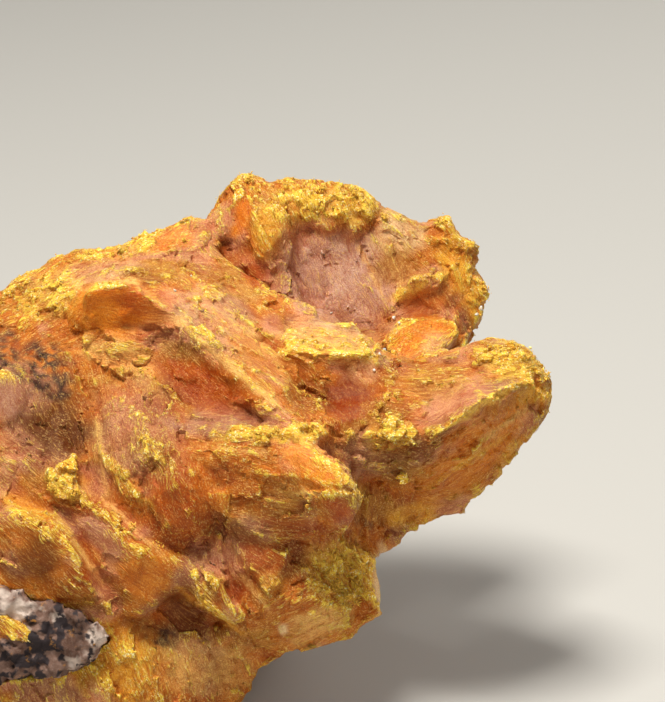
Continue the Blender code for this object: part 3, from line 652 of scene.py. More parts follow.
# %% Knobs
# Across, down, radius and how proud it stands.
KNOBS = [
    (39.3, 42.8, 0.9, 0.7), (40.2, 47.9, 0.55, 0.6), (36.6, 43.7, 0.6, 0.5), (38.0, 44.6, 0.5, 0.5),
    (34.9, 43.4, 0.5, 0.4), (41.6, 44.5, 0.5, 0.4), (40.8, 45.4, 0.45, 0.4), (29.8, 20.0, 0.7, 0.5),
    (31.6, 20.6, 0.6, 0.5), (33.6, 21.2, 0.7, 0.5), (36.0, 21.0, 0.6, 0.5), (50.4, 35.6, 0.6, 0.5),
    (52.0, 36.0, 0.7, 0.5), (53.6, 37.4, 0.6, 0.5), (48.6, 36.2, 0.6, 0.4), (38.6, 39.8, 0.5, 0.4),
    (4.4, 33.4, 0.6, 0.4), (2.4, 32.2, 0.6, 0.4), (3.4, 30.0, 0.7, 0.5), (5.4, 28.6, 0.6, 0.4),
    (34.8, 54.9, 0.5, 0.4), (33.4, 56.8, 0.5, 0.4), (35.2, 57.6, 0.5, 0.4), (20.6, 61.8, 0.6, 0.5),
]
for knob in KNOBS:
    add_knob(lump_build, *knob)
print("knobs:", len(KNOBS))

# %% Bundles of blades
# Where the first blade starts and ends, the shift from one to the next, how many, width.
BUNDLES = {
    "foot_blades": ((9.4, 64.6), (12.2, 70.6), (1.0, 0.15), 8, 0.75),
    "pale_chip": ((6.9, 54.8), (8.1, 56.6), (0.0, 0.0), 1, 0.7),
    "left_blades": ((0.4, 50.4), (5.6, 52.0), (0.3, 0.55), 3, 0.5),
    "slope_blades": ((18.4, 28.6), (21.6, 31.8), (1.1, 0.85), 6, 0.7),
    "slope_blades_low": ((17.6, 30.8), (19.8, 32.8), (1.0, 0.9), 6, 0.6),
    "lip_blades": ((23.4, 44.9), (27.6, 45.6), (0.6, 0.7), 4, 0.6),
}
BLADE_PROUD = 0.35

for start, end, shift, count, width in BUNDLES.values():
    for number in range(count):
        move = np.array(shift) * number
        add_blade(lump_build, np.array(start) + move, np.array(end) + move, width, BLADE_PROUD)
print("bundles:", len(BUNDLES))

# %% Two slabs of their own
# A yellow wedge lies over the rock at the left edge of the view.
OVER_ROCK = [(-4.5, 60.4), (0.4, 61.6), (2.9, 63.0), (3.2, 63.9), (1.4, 64.3), (-4.5, 63.2)]
OVER_ROCK_PROUD = 0.55
OVER_ROCK_DEPTH = 1.5

wedge = []
for spot in OVER_ROCK:
    wedge.append((*spot, nearness(*spot, rock_surface) or nearness(*spot), OVER_ROCK_PROUD))
add_slab(lump_build, wedge, OVER_ROCK_DEPTH)

# On the right the foot ends in a pointed flange, which starts behind the foot's own face.
FOOT_TIP = [(33.8, 59.0), (37.4, 59.2), (38.2, 61.4), (36.2, 62.6), (33.4, 63.4)]
FOOT_FACE = (35.2, 61.0)
FOOT_TIP_BEHIND = 0.7
FOOT_TIP_DEPTH = 2.0

foot_near = nearness(*FOOT_FACE)
flange = [(*spot, foot_near, -FOOT_TIP_BEHIND) for spot in FOOT_TIP]
add_slab(lump_build, flange, FOOT_TIP_DEPTH)

# %% The skin
SKIN_CELL = 0.26
lump = skin_of("orpiment_lump", lump_build, SKIN_CELL)
print("lump skin:", len(lump.data.vertices), "points")

# %% [markdown]
# ## What lies where on the front
# The faces of the lump differ: some are smooth, glassy and deep orange, some carry a pink and mauve
# satin sheen that is painted on as a tint, some are buried in yellow crust. A few stretches paint
# shade or glow: shadow under the shard, the lip, the knob and the overhang by the tooth, and the glow
# of light through the recess by the knob. Each such stretch is a soft oval on the front view with its
# own tint, how much of the tint shows, how smooth the face is, and how much crust grows on it. The
# ovals' edges are broken up by noise. The back and the left end, which nobody sees at first, get
# theirs from wide noise.

# %% Tints and stretches
TINTS = {
    "amber": (208, 124, 34),
    "bright_orange": (236, 142, 28),
    "deep_orange": (184, 82, 8),
    "ember": (150, 60, 2),
    "umber": (104, 56, 20),
    "red_brown": (164, 76, 20),
    "brown": (136, 74, 16),
    # Mauve and pink are painted sheen: the pearly reflection of soft light off the cleavage faces, laid
    # over the orange as a tint.
    "mauve": (176, 128, 104),
    "pale_mauve": (210, 170, 152),
    "pink": (216, 152, 118),
    "pale_pink": (232, 186, 140),
    "ochre": (190, 136, 54),
    "lemon": (252, 208, 88),
    "gold": (240, 178, 56),
    "olive": (168, 124, 48),
    "cream": (246, 214, 160),
    "straw": (252, 206, 120),
    "dark": (66, 46, 44),
}

# %% Stretches
# Across, down, half length, half width, slant in degrees below level, tint, its share, how smooth
# the face is, how much crust grows on it.
STRETCHES = {
    "shard": (12.0, 30.8, 5.4, 2.9, 12, "bright_orange", 0.8, 1.0, -0.9),
    "shard_dark": (13.9, 30.0, 2.2, 1.3, 20, "deep_orange", 0.8, 1.0, -0.9),
    # Painted shadow: deep orange at the lower right end of the shard.
    "shard_foot_shadow": (14.4, 33.4, 1.2, 0.7, -40, "deep_orange", 0.8, 0.6, -0.2),
    "pink_sheen_shelf": (9.6, 27.2, 4.6, 1.2, -14, "pale_pink", 0.8, 0.6, 0.0),
    "shoulder_left": (4.6, 29.4, 3.4, 2.2, -20, "lemon", 0.6, 0.2, 0.7),
    "shoulder_top": (13.0, 24.6, 5.0, 1.2, -14, "gold", 0.6, 0.2, 0.5),
    "shoulder_orange": (17.6, 23.6, 2.2, 1.2, -25, "bright_orange", 0.7, 0.6, -0.1),
    # The stone's own orange, brightened to stand for light shining through the thin recess by the knob:
    # painted glow.
    "back_knob_painted_glow": (24.2, 21.6, 2.1, 1.0, 108, "bright_orange", 1.0, 0.9, -0.6),
    "round_face": (26.7, 23.2, 2.6, 1.9, 80, "gold", 0.7, 0.6, -0.2),
    # Painted shade: deep orange below the lit face of the knob.
    "knob_shade": (25.6, 27.2, 1.5, 1.2, 20, "deep_orange", 0.9, 0.7, -0.4),
    "pink_sheen_slope": (21.6, 31.8, 4.4, 2.4, 38, "pale_pink", 0.7, 0.4, 0.15),
    "slope_low": (25.6, 35.4, 3.4, 1.8, 40, "straw", 0.5, 0.2, 0.3),
    "under_shard": (12.4, 35.8, 4.4, 1.8, 15, "straw", 0.55, 0.3, 0.3),
    "red_facet": (20.4, 38.4, 5.6, 2.4, 28, "deep_orange", 0.9, 0.8, -0.6),
    "facet_top": (17.2, 34.8, 2.8, 0.9, 25, "olive", 0.7, 0.3, 0.2),
    "ridge_line": (22.8, 36.4, 8.4, 0.5, 41, "straw", 0.8, 0.9, -0.5),
    "slope_satin": (24.8, 34.8, 4.2, 0.9, 41, "amber", 0.7, 0.6, 0.0),
    "bulge": (13.8, 43.6, 5.6, 5.0, 60, "mauve", 0.65, 0.6, -0.2),
    "bulge_pink_sheen": (12.4, 41.2, 2.6, 2.0, 70, "pink", 0.4, 0.6, -0.1),
    "bulge_red": (17.6, 49.0, 4.6, 3.8, 60, "deep_orange", 0.6, 0.75, -0.4),
    "bulge_gold": (12.2, 47.8, 3.8, 0.7, 48, "gold", 0.7, 0.2, 0.3),
    "bulge_olive": (15.4, 45.4, 2.4, 1.8, 40, "olive", 0.5, 0.3, 0.25),
    "pink_sheen_bands": (23.0, 42.6, 5.6, 1.6, 4, "mauve", 0.8, 0.65, -0.2),
    "orange_band": (23.2, 45.2, 4.6, 1.1, 5, "amber", 0.8, 0.6, 0.0),
    "band_red": (22.6, 47.2, 1.8, 1.2, 20, "red_brown", 0.7, 0.6, -0.2),
    "lip": (31.2, 46.6, 4.2, 2.2, 32, "bright_orange", 0.85, 0.85, -0.3),
    "lip_end": (34.2, 50.8, 1.5, 2.0, 80, "deep_orange", 0.9, 0.9, -0.5),
    "lip_low": (29.0, 50.6, 3.4, 1.6, 10, "ochre", 0.6, 0.3, 0.25),
    # Painted shade: red-brown where the lip shades the face below it.
    "under_lip_shade": (29.6, 52.8, 3.6, 1.0, 5, "red_brown", 0.6, 0.5, -0.1),
    "left_valley": (4.6, 37.4, 2.0, 2.8, 70, "dark", 0.35, 0.2, 0.0),
    "pale_face": (0.8, 39.8, 2.8, 2.8, 60, "mauve", 0.9, 0.95, -0.6),
    "left_brown": (5.4, 43.0, 2.8, 4.4, 80, "umber", 0.95, 0.7, -0.5),
    "mottles": (4.6, 37.0, 3.4, 2.6, 60, "dark", 1.0, 0.7, -0.5),
    "mottles_left": (0.4, 35.0, 2.4, 1.8, 60, "dark", 0.9, 0.7, -0.4),
    "left_pink_sheen": (2.0, 44.6, 2.4, 1.6, 30, "pink", 0.5, 0.5, 0.0),
    "tile_brown": (4.2, 55.6, 2.6, 2.6, 40, "brown", 0.95, 0.9, -0.5),
    "tile_edge": (0.6, 54.0, 1.2, 2.6, 80, "amber", 0.8, 0.5, 0.1),
    "tile_mauve_sheen": (10.6, 54.2, 3.2, 1.5, 45, "mauve", 0.8, 0.8, -0.3),
    "tile_red": (8.2, 56.8, 2.6, 1.3, 50, "red_brown", 0.7, 0.8, -0.3),
    "glassy": (14.6, 57.8, 3.0, 2.0, 30, "amber", 0.9, 0.95, -0.5),
    "valley_orange": (12.0, 52.0, 3.6, 1.0, 42, "deep_orange", 0.6, 0.5, 0.1),
    # Painted shadow: brown in the deep shade under the overhang beside the tooth.
    "dark_wedge": (18.6, 60.6, 3.4, 1.6, 32, "brown", 0.95, 0.8, -0.5),
    "tooth": (21.0, 59.0, 1.3, 2.8, 60, "ochre", 0.8, 0.3, 0.3),
    "tooth_beside": (24.0, 58.6, 1.3, 3.2, 55, "red_brown", 0.9, 0.7, -0.3),
    "mauve_sheen_band": (22.8, 55.6, 1.2, 1.8, 60, "mauve", 0.6, 0.7, -0.2),
    "triangle": (26.4, 55.8, 2.8, 1.6, 20, "red_brown", 0.9, 0.8, -0.4),
    "foot_wedge": (28.6, 60.8, 3.2, 2.4, -20, "amber", 0.6, 0.5, 0.0),
    "foot_pink": (32.2, 62.2, 3.8, 1.6, -20, "straw", 0.7, 0.4, 0.1),
    "sparkling": (34.2, 57.2, 3.4, 3.4, 100, "lemon", 0.9, 0.1, 0.95),
    "flange_cream": (38.2, 58.0, 4.2, 0.8, 90, "cream", 1.0, 0.8, -0.3),
    "crevice": (37.4, 50.6, 1.8, 3.8, 120, "ochre", 0.9, 0.3, 0.0),
    "crevice_dark": (36.6, 52.4, 0.7, 1.2, 120, "dark", 0.6, 0.2, -0.3),
    "flange": (41.6, 51.4, 2.8, 1.2, -15, "gold", 0.8, 0.4, 0.1),
    "prong_under": (45.6, 47.4, 4.4, 1.8, -32, "amber", 0.8, 0.6, -0.1),
    "prong_face": (48.8, 43.4, 5.0, 3.0, -38, "bright_orange", 0.6, 0.5, -0.1),
    "prong_streak": (49.4, 43.2, 4.2, 0.3, -36, "straw", 0.7, 0.4, 0.3),
    "prong_streak_low": (47.6, 45.6, 4.4, 0.3, -34, "gold", 0.7, 0.4, 0.3),
    "prong_red": (45.6, 40.2, 4.0, 2.0, -28, "pink", 0.75, 0.85, -0.5),
    "prong_top": (43.6, 38.0, 3.8, 1.6, 5, "ochre", 0.5, 0.5, 0.1),
    "prong_crust": (50.8, 36.2, 3.6, 1.6, 15, "lemon", 0.9, 0.0, 0.8),
    "prong_tip": (54.0, 39.4, 1.1, 2.4, 80, "gold", 0.7, 0.4, 0.2),
    "prong_edge": (50.8, 45.8, 3.6, 0.8, -52, "gold", 0.7, 0.4, 0.1),
    "bowl": (34.6, 40.0, 3.0, 2.4, 10, "ember", 1.0, 0.95, -0.8),
    "bowl_left": (31.0, 39.6, 2.2, 2.0, 30, "brown", 0.5, 0.2, 0.1),
    "bowl_pink_sheen": (36.4, 37.2, 1.5, 1.2, 10, "pale_pink", 0.6, 0.7, -0.2),
    "ledge": (33.0, 34.2, 5.2, 1.9, 8, "straw", 0.85, 0.5, 0.45),
    "ledge_pink_sheen": (27.4, 32.2, 1.2, 0.9, 10, "pink", 0.8, 0.7, -0.2),
    "step_block": (30.0, 31.0, 1.7, 1.1, 10, "bright_orange", 0.9, 0.8, -0.3),
    "knobby": (38.8, 43.8, 2.6, 1.6, 5, "gold", 0.7, 0.0, 0.6),
    "crumb_ridge": (27.6, 43.4, 5.4, 0.9, 0, "lemon", 0.9, 0.0, 0.9),
    "beside_bowl": (38.6, 41.4, 1.6, 2.2, 90, "ochre", 0.6, 0.1, 0.3),
    "crust_foot": (39.6, 47.0, 2.6, 1.4, 5, "ochre", 0.6, 0.1, 0.2),
    "plate_face": (34.0, 27.8, 6.6, 5.2, 20, "pale_mauve", 0.9, 0.6, -0.1),
    "plate_crest": (32.6, 20.6, 5.4, 1.9, 5, "lemon", 0.8, 0.1, 0.7),
    "plate_white": (39.8, 23.4, 2.6, 2.6, 60, "cream", 0.8, 0.5, 0.0),
    "plate_middle": (40.0, 26.8, 3.0, 2.2, 20, "ochre", 0.8, 0.6, -0.1),
    "plate_rim": (46.4, 28.0, 4.8, 1.5, 62, "gold", 0.9, 0.45, 0.25),
    "plate_glow": (42.2, 33.9, 3.6, 2.1, -10, "bright_orange", 0.85, 0.7, -0.2),
    "plate_glow_pale": (43.6, 34.4, 1.8, 1.0, -20, "cream", 0.5, 0.7, 0.0),
    "plate_inside_hook": (42.4, 30.0, 2.6, 1.9, 0, "amber", 0.8, 0.8, -0.4),
    "plate_low_white": (39.2, 32.6, 0.9, 1.0, 60, "cream", 0.7, 0.4, 0.0),
    "foot_band": (18.6, 63.0, 6.0, 1.0, 8, "brown", 0.7, 0.5, -0.1),
    "foot_blades": (12.6, 66.6, 4.4, 3.4, 66, "gold", 0.7, 0.3, 0.3),
    "foot_pale": (20.6, 66.6, 5.0, 3.0, 10, "straw", 0.5, 0.2, 0.2),
    "foot_mottles": (16.2, 63.6, 2.2, 0.9, 15, "dark", 0.9, 0.6, -0.4),
    "pale_chip": (7.4, 55.7, 1.1, 0.45, 60, "cream", 1.0, 0.8, 0.3),
    "pale_grain": (28.3, 63.0, 0.7, 0.5, 60, "cream", 1.0, 0.7, 0.3),
    "corner_pink_sheen": (0.4, 67.4, 1.6, 1.6, 0, "pink", 0.9, 0.8, -0.3),
    "left_streak": (2.8, 50.6, 3.4, 0.8, 18, "gold", 0.9, 0.4, 0.3),
    "yellow_chip": (6.2, 48.2, 1.6, 2.6, 110, "lemon", 0.6, 0.2, 0.4),
    "shard_line": (10.6, 28.5, 3.2, 0.35, -8, "straw", 0.9, 0.8, 0.5),
    "shard_slant": (15.0, 29.6, 2.2, 0.3, 38, "straw", 0.7, 0.8, 0.4),
    "bulge_line": (10.0, 44.4, 5.6, 0.3, 82, "straw", 0.6, 0.6, 0.0),
    "bulge_low_line": (13.2, 52.6, 4.8, 0.3, 42, "straw", 0.7, 0.6, 0.0),
    "band_line": (23.6, 45.0, 4.4, 0.25, 4, "straw", 0.7, 0.6, 0.3),
    "lip_line": (31.8, 45.4, 4.8, 0.4, 40, "lemon", 0.9, 0.7, 0.5),
    "step_line": (32.4, 49.4, 3.2, 0.3, 0, "straw", 0.8, 0.7, 0.4),
    "prong_line": (48.4, 40.4, 6.4, 0.4, -31, "lemon", 0.9, 0.7, 0.5),
    "tile_line": (7.6, 54.4, 4.8, 0.3, 55, "straw", 0.8, 0.7, 0.3),
    "wedge_line": (25.0, 58.6, 3.2, 0.25, 52, "straw", 0.7, 0.7, 0.3),
    "foot_line": (21.0, 61.0, 4.4, 0.3, 34, "gold", 0.8, 0.6, 0.3),
    "hook_line": (41.8, 28.6, 3.2, 0.45, -25, "lemon", 0.9, 0.7, 0.2),
    "plate_line": (37.2, 27.4, 4.8, 0.25, 64, "straw", 0.6, 0.6, 0.2),
    "ledge_line": (33.0, 35.4, 5.2, 0.3, 4, "lemon", 0.9, 0.6, 0.5),
}


# %% Helpers for the stretches
NARROWEST = 0.9
STRETCH_EDGE = (0.55, 1.3)
FRONT_SLOPE = 2.2
FRONT_SHARE_EDGE_ON = 0.7


def tint_rows(names):
    return np.array([tint(*TINTS[name])[:3] for name in names])


def shares_of_stretches(across, down, ragged):
    """How much each stretch covers each point, one row for each stretch."""
    rows = []
    for middle_across, middle_down, length, width, slant, *_ in STRETCHES.values():
        turn = math.radians(slant)
        gone_across = across - middle_across
        gone_down = down - middle_down
        along = gone_across * math.cos(turn) + gone_down * math.sin(turn)
        over = gone_down * math.cos(turn) - gone_across * math.sin(turn)
        reach = np.sqrt((along / length) ** 2 + (over / width) ** 2)
        reach += ragged / math.sqrt(max(width, NARROWEST))
        rows.append(1 - soft_step(reach, *STRETCH_EDGE))
    return np.array(rows)


def front_share(normals):
    """1 where the surface faces the front, 0 where it faces away."""
    return np.clip(normals @ TOWARD * FRONT_SLOPE + FRONT_SHARE_EDGE_ON, 0, 1)


# %% [markdown]
# ## The way the blades run
# Orpiment splits into thin bendy blades, and each part of the lump has them running its own way. The
# blades break off in steps, so the surface rises slowly over each of them and drops at its edge, like
# shingles. Four directions are enough. Each part of the lump belongs to the nearest of the places
# listed here and takes its direction from it.

# %% Directions of the blades
# In degrees below level, as one looks at the front.
SLANTS = [-32, 6, 40, 68]

# Across, down, and which of the slants the blades follow there.
RUNS = [
    (8, 27, 0), (3, 31, 0), (13, 30, 1), (21, 29, 2), (24, 34, 2), (21, 38, 2), (33, 34, 1),
    (31, 39, 2), (35, 40, 3), (14, 43, 3), (18, 50, 3), (10, 46, 3), (4, 40, 3), (5, 46, 2),
    (23, 43, 1), (26, 45, 1), (31, 47, 2), (34, 51, 3), (28, 51, 1), (5, 55, 2), (11, 55, 2),
    (15, 58, 2), (19, 60, 2), (23, 57, 3), (27, 57, 2), (33, 62, 0), (30, 61, 0), (35, 57, 3),
    (37, 51, 3), (39, 44, 1), (46, 42, 0), (46, 47, 0), (51, 43, 3), (50, 36, 1), (42, 38, 1),
    (32, 22, 3), (33, 28, 3), (38, 28, 3), (43, 24, 2), (46, 29, 3), (42, 34, 0), (26, 22, 3),
    (13, 67, 3), (20, 66, 3), (3, 50, 2), (-6, 40, 2), (-10, 52, 3), (-14, 62, 2), (16, 24, 0),
]


# %% Steps between the blades
RUN_EDGE = 6.0
LEANING_BACK = 0.25


def run_shares(across, down, ragged):
    """How much each of the four directions holds at each point."""
    nearest = np.full(len(across), np.inf)
    choice = np.zeros(len(across), dtype=int)
    for run_across, run_down, slant in RUNS:
        away = (across - run_across) ** 2 + (down - run_down) ** 2 + ragged * RUN_EDGE
        closer = away < nearest
        nearest[closer] = away[closer]
        choice[closer] = slant
    return np.eye(len(SLANTS))[choice]


def grain_frame(slant):
    """The directions along the blades and over them."""
    turn = math.radians(slant)
    along = math.cos(turn) * RIGHT - math.sin(turn) * UPWARD
    over = math.sin(turn) * RIGHT + math.cos(turn) * UPWARD
    return along, over


def shingles(points, shares, waver, spacing, step):
    """Steps between blades: slow rises and sudden drops across the direction they run in."""
    heights = np.zeros(len(points))
    for share, slant in zip(shares.T, SLANTS):
        along, over = grain_frame(slant)
        order = (points @ over + LEANING_BACK * (points @ TOWARD)) / spacing + waver
        row = np.floor(order)
        strength = chance(np.stack([row, row, row], axis=1), slant)
        heights += share * step * strength * (np.mod(order, 1.0) - 0.5)
    return heights


def flakes(points, shares, width, length, tilt, lift, salt):
    """Long flat chips that lie along the blades, each a little higher or lower than the next."""
    heights = np.zeros(len(points))
    for number, slant in enumerate(SLANTS):
        own = shares[:, number] > 0.5
        along, over = grain_frame(slant)
        lanes = np.stack([
            points[own] @ along * width / length,
            points[own] @ over,
            points[own] @ TOWARD,
        ], axis=1)
        heights[own] = chips(lanes, width, tilt, salt + 7 * number, lift)
    return heights


# %% [markdown]
# ## Carving the surface
# First the facets of the solid are softened a little. Then shingled blades, small flat chips and
# crumbly grain are laid over it, weak on the smooth cleavage faces and strong where the stone is
# crusted. Nothing may stick out of the box of the solid or under the floor, so points are held inside.

# %% Carving
EVEN_ROUNDS = 1
FLAT_FOOT = 0.35
INSIDE = 0.01
LOWEST, HIGHEST = (np.array(corner) / MM for corner in CAD_BOX)
SMOOTH_ELSEWHERE = 0.42
STEP_SPACING = 2.1
STEP_HEIGHT = 0.45
STEPS_ON_SMOOTH = 0.12

# Width, length, tilt, lift, the number that chance starts from, and how much is left on smooth faces.
FLAKES = ((2.3, 5.6, 0.3, 0.3, 50.0, 0.12), (0.9, 3.0, 0.18, 0.13, 90.0, 0.06))


def facts_of(mesh):
    """What the carving and the colours need to know about each point of the surface."""
    points = points_of(mesh)
    normals = normals_of(mesh)
    across, down, _ = seen_from_front(points)
    ragged = 0.6 * wander(points, 1.8, 4, 3.0)
    shares = shares_of_stretches(across, down, ragged) * front_share(normals)
    smooth = np.full(len(points), SMOOTH_ELSEWHERE)
    crusty = np.zeros(len(points))
    for share, (*_, evenness, growth) in zip(shares, STRETCHES.values()):
        smooth += share * (evenness - smooth)
        crusty += share * (growth - crusty)
    runs = run_shares(across, down, wander(points, 3.0, 2, 5.0))
    return points, normals, shares, runs, smooth, crusty


def inside_box(points):
    """The points held inside the solid's box, with the foot flat on the floor."""
    held = np.clip(points, LOWEST + INSIDE, HIGHEST - INSIDE)
    held[:, 2] = np.where(points[:, 2] < FLAT_FOOT, 0.0, held[:, 2])
    return held


def carve(mesh):
    """Moves each point out or in by the height of the shingles, flakes and crust there."""
    set_points(mesh, smoothed(mesh, points_of(mesh), EVEN_ROUNDS))
    points, normals, _, runs, smooth, crusty = facts_of(mesh)
    rough = 1 - smooth
    waver = 0.9 * wander(points, 2.4, 3, 9.0)
    ragged = np.stack([0.35 * wander(points, 1.1, 3, salt) for salt in (1.0, 6.0, 8.0)], axis=1)
    torn = points + ragged
    steps = shingles(points, runs, waver, STEP_SPACING, STEP_HEIGHT)
    heights = 0.04 + steps * (STEPS_ON_SMOOTH + (1 - STEPS_ON_SMOOTH) * rough)
    for width, length, tilt, lift, salt, least in FLAKES:
        heights += flakes(torn, runs, width, length, tilt, lift, salt) * (least + (1 - least) * rough)
    heights += chips(points, size=1.9, tilt=0.34, salt=20.0, lift=0.26) * np.clip(crusty, 0, 1)
    set_points(mesh, inside_box(points + normals * heights[:, None]))


LUMP_TRIANGLES = 196000
SHARP_EDGE = math.radians(40)
carve(lump.data)
thin_out(lump, LUMP_TRIANGLES)
set_points(lump.data, inside_box(points_of(lump.data)))
lump.data.shade_smooth()
lump.data.set_sharp_from_angle(angle=SHARP_EDGE)
print("lump after carving:", triangles_in(lump.data), "triangles")

# %% [markdown]
# ## Painting values onto the points
# The material needs to know, at each point, the tint of its stretch, how much crust there is, how
# deep in a hollow it lies and which way the blades run. A point that stands above the smoothed
# surface is on an edge, where the stone is bruised to yellow powder. One that lies below it is in a
# hollow, where painted shade darkens the colour.

# %% Values for the material
def store(mesh, name, values):
    """Saves one number, or one colour, for each point of the mesh."""
    kind, field = ("FLOAT", "value") if values.ndim == 1 else ("FLOAT_COLOR", "color")
    if values.ndim == 2 and values.shape[1] == 3:
        values = np.hstack([values, np.ones((len(values), 1))])
    layer = mesh.attributes.new(name, kind, "POINT")
    layer.data.foreach_set(field, values.astype(np.float32).ravel())


def back_tints(points):
    """Tints for where no stretch lies, chosen by wide noise."""
    base = np.tile(tint_rows(["amber"]), (len(points), 1))
    # Mauve and pink here are the painted sheen tints, as in the stretches.
    for name, size, low, salt in (
        ("red_brown", 7.0, 0.14, 2.0), ("ochre", 5.0, 0.08, 11.0), ("mauve", 9.0, 0.18, 23.0),
        ("pink", 6.0, 0.2, 37.0), ("brown", 6.0, 0.28, 31.0),
    ):
        share = 0.75 * soft_step(wander(points, size, 3, salt), low, low + 0.3)
        base += share[:, None] * (tint_rows([name]) - base)
    return base


def paint(mesh):
    """Stores the values, and gives back what the small pieces need to know about each point."""
    points, normals, shares, runs, smooth, crusty = facts_of(mesh)
    colours = back_tints(points)
    broken = soft_step(wander(points, 0.8, 4, 27.0), -0.35, 0.1)
    for share, (*_, name, amount, _, _) in zip(shares, STRETCHES.values()):
        cover = share * amount * (broken if name == "dark" else 1.0)
        colours += cover[:, None] * (tint_rows([name]) - colours)
    fine = ((points - smoothed(mesh, points, 4)) * normals).sum(axis=1)
    wide = ((points - smoothed(mesh, points, 60)) * normals).sum(axis=1)
    patchy = wander(points, 2.2, 4, 15.0)
    edge = 0.8 * np.clip(wide, -0.5, 0.8) + 2.6 * np.clip(fine, -0.15, 0.3)
    crust = edge + 0.35 * normals[:, 2] + 0.9 * crusty + 0.35 * patchy - 0.25
    store(mesh, "tint", colours)
    store(mesh, "crust", crust)
    # Painted shade: how far each point lies in a hollow, used to darken the colour there.
    store(mesh, "hollow_shade", soft_step(-wide - 0.6 * fine, 0.04, 0.55))
    store(mesh, "rough_face", 1 - smooth)
    store(mesh, "runs", smoothed(mesh, runs, 2))
    alongs = runs @ np.array([grain_frame(slant)[0] for slant in SLANTS])
    return points, normals, crust, 1 - smooth, colours, alongs


lump_points, lump_normals, lump_crust, lump_rough, lump_colours, lump_alongs = paint(lump.data)
print("crusted share:", round(float((lump_crust > 0.55).mean()), 2))

# %% [markdown]
# ## The finish of the orpiment
# Under everything is the tint of the stretch, clouded by noise. Along the blades run fine fibres,
# some pale yellow and some darker than the face. They are noise that is stretched along the blades,
# one for each of the four directions. Where there is crust, lemon powder covers it all. Tiny pale
# specks are painted glints, and hollows are darkened with painted shade. Orpiment lets light in a
# little way, which the subsurface weight gives.

# %% Fibres and flakes in a material
FIBRE_LENGTH = 2.6
FIBRE_WIDTH = 0.12
FLAKE_LENGTH = 2.0
FLAKE_WIDTH = 0.4


def stretched(recipe, where, slant, length, width):
    """The place measured along and over the blades, so that noise on it turns into fibres."""
    parts = []
    for direction, size in zip((*grain_frame(slant), TOWARD), (length, width, width)):
        scaled = tuple(direction / size)
        sockets = {0: where, 1: scaled}
        parts.append(recipe.make("ShaderNodeVectorMath", {"operation": "DOT_PRODUCT"}, sockets,
                                 output="Value"))
    return recipe.make("ShaderNodeCombineXYZ", {}, {0: parts[0], 1: parts[1], 2: parts[2]})


def blade_noise(recipe, where):
    """Fine fibres and wider flakes, both as noise from 0 to 1 that runs along the blades."""
    drift = recipe.make("ShaderNodeTexNoise", {}, {"Vector": where, "Scale": 0.22}, output="Color")
    bent = recipe.make("ShaderNodeVectorMath", {"operation": "MULTIPLY_ADD"},
                       {0: drift, 1: (2.2, 2.2, 2.2), 2: where})
    runs = recipe.attribute("runs", "Color")
    split = recipe.make("ShaderNodeSeparateColor", {}, {0: runs})
    shares = [Wire(recipe, split.socket.node.outputs[n]) for n in range(3)]
    shares.append(recipe.attribute("runs", "Alpha"))
    fibres = 0
    flakes = 0
    for share, slant in zip(shares, SLANTS):
        lanes = stretched(recipe, bent, slant, FIBRE_LENGTH, FIBRE_WIDTH)
        fibres = fibres + share * recipe.grain(lanes, 1.0, 4.0, 0.6)
        plates = stretched(recipe, bent, slant, FLAKE_LENGTH, FLAKE_WIDTH)
        flakes = flakes + share * recipe.grain(plates, 1.0, 2.0, 0.5)
    return fibres, flakes


# %% Orpiment material
SHEEN = tint(255, 220, 176)


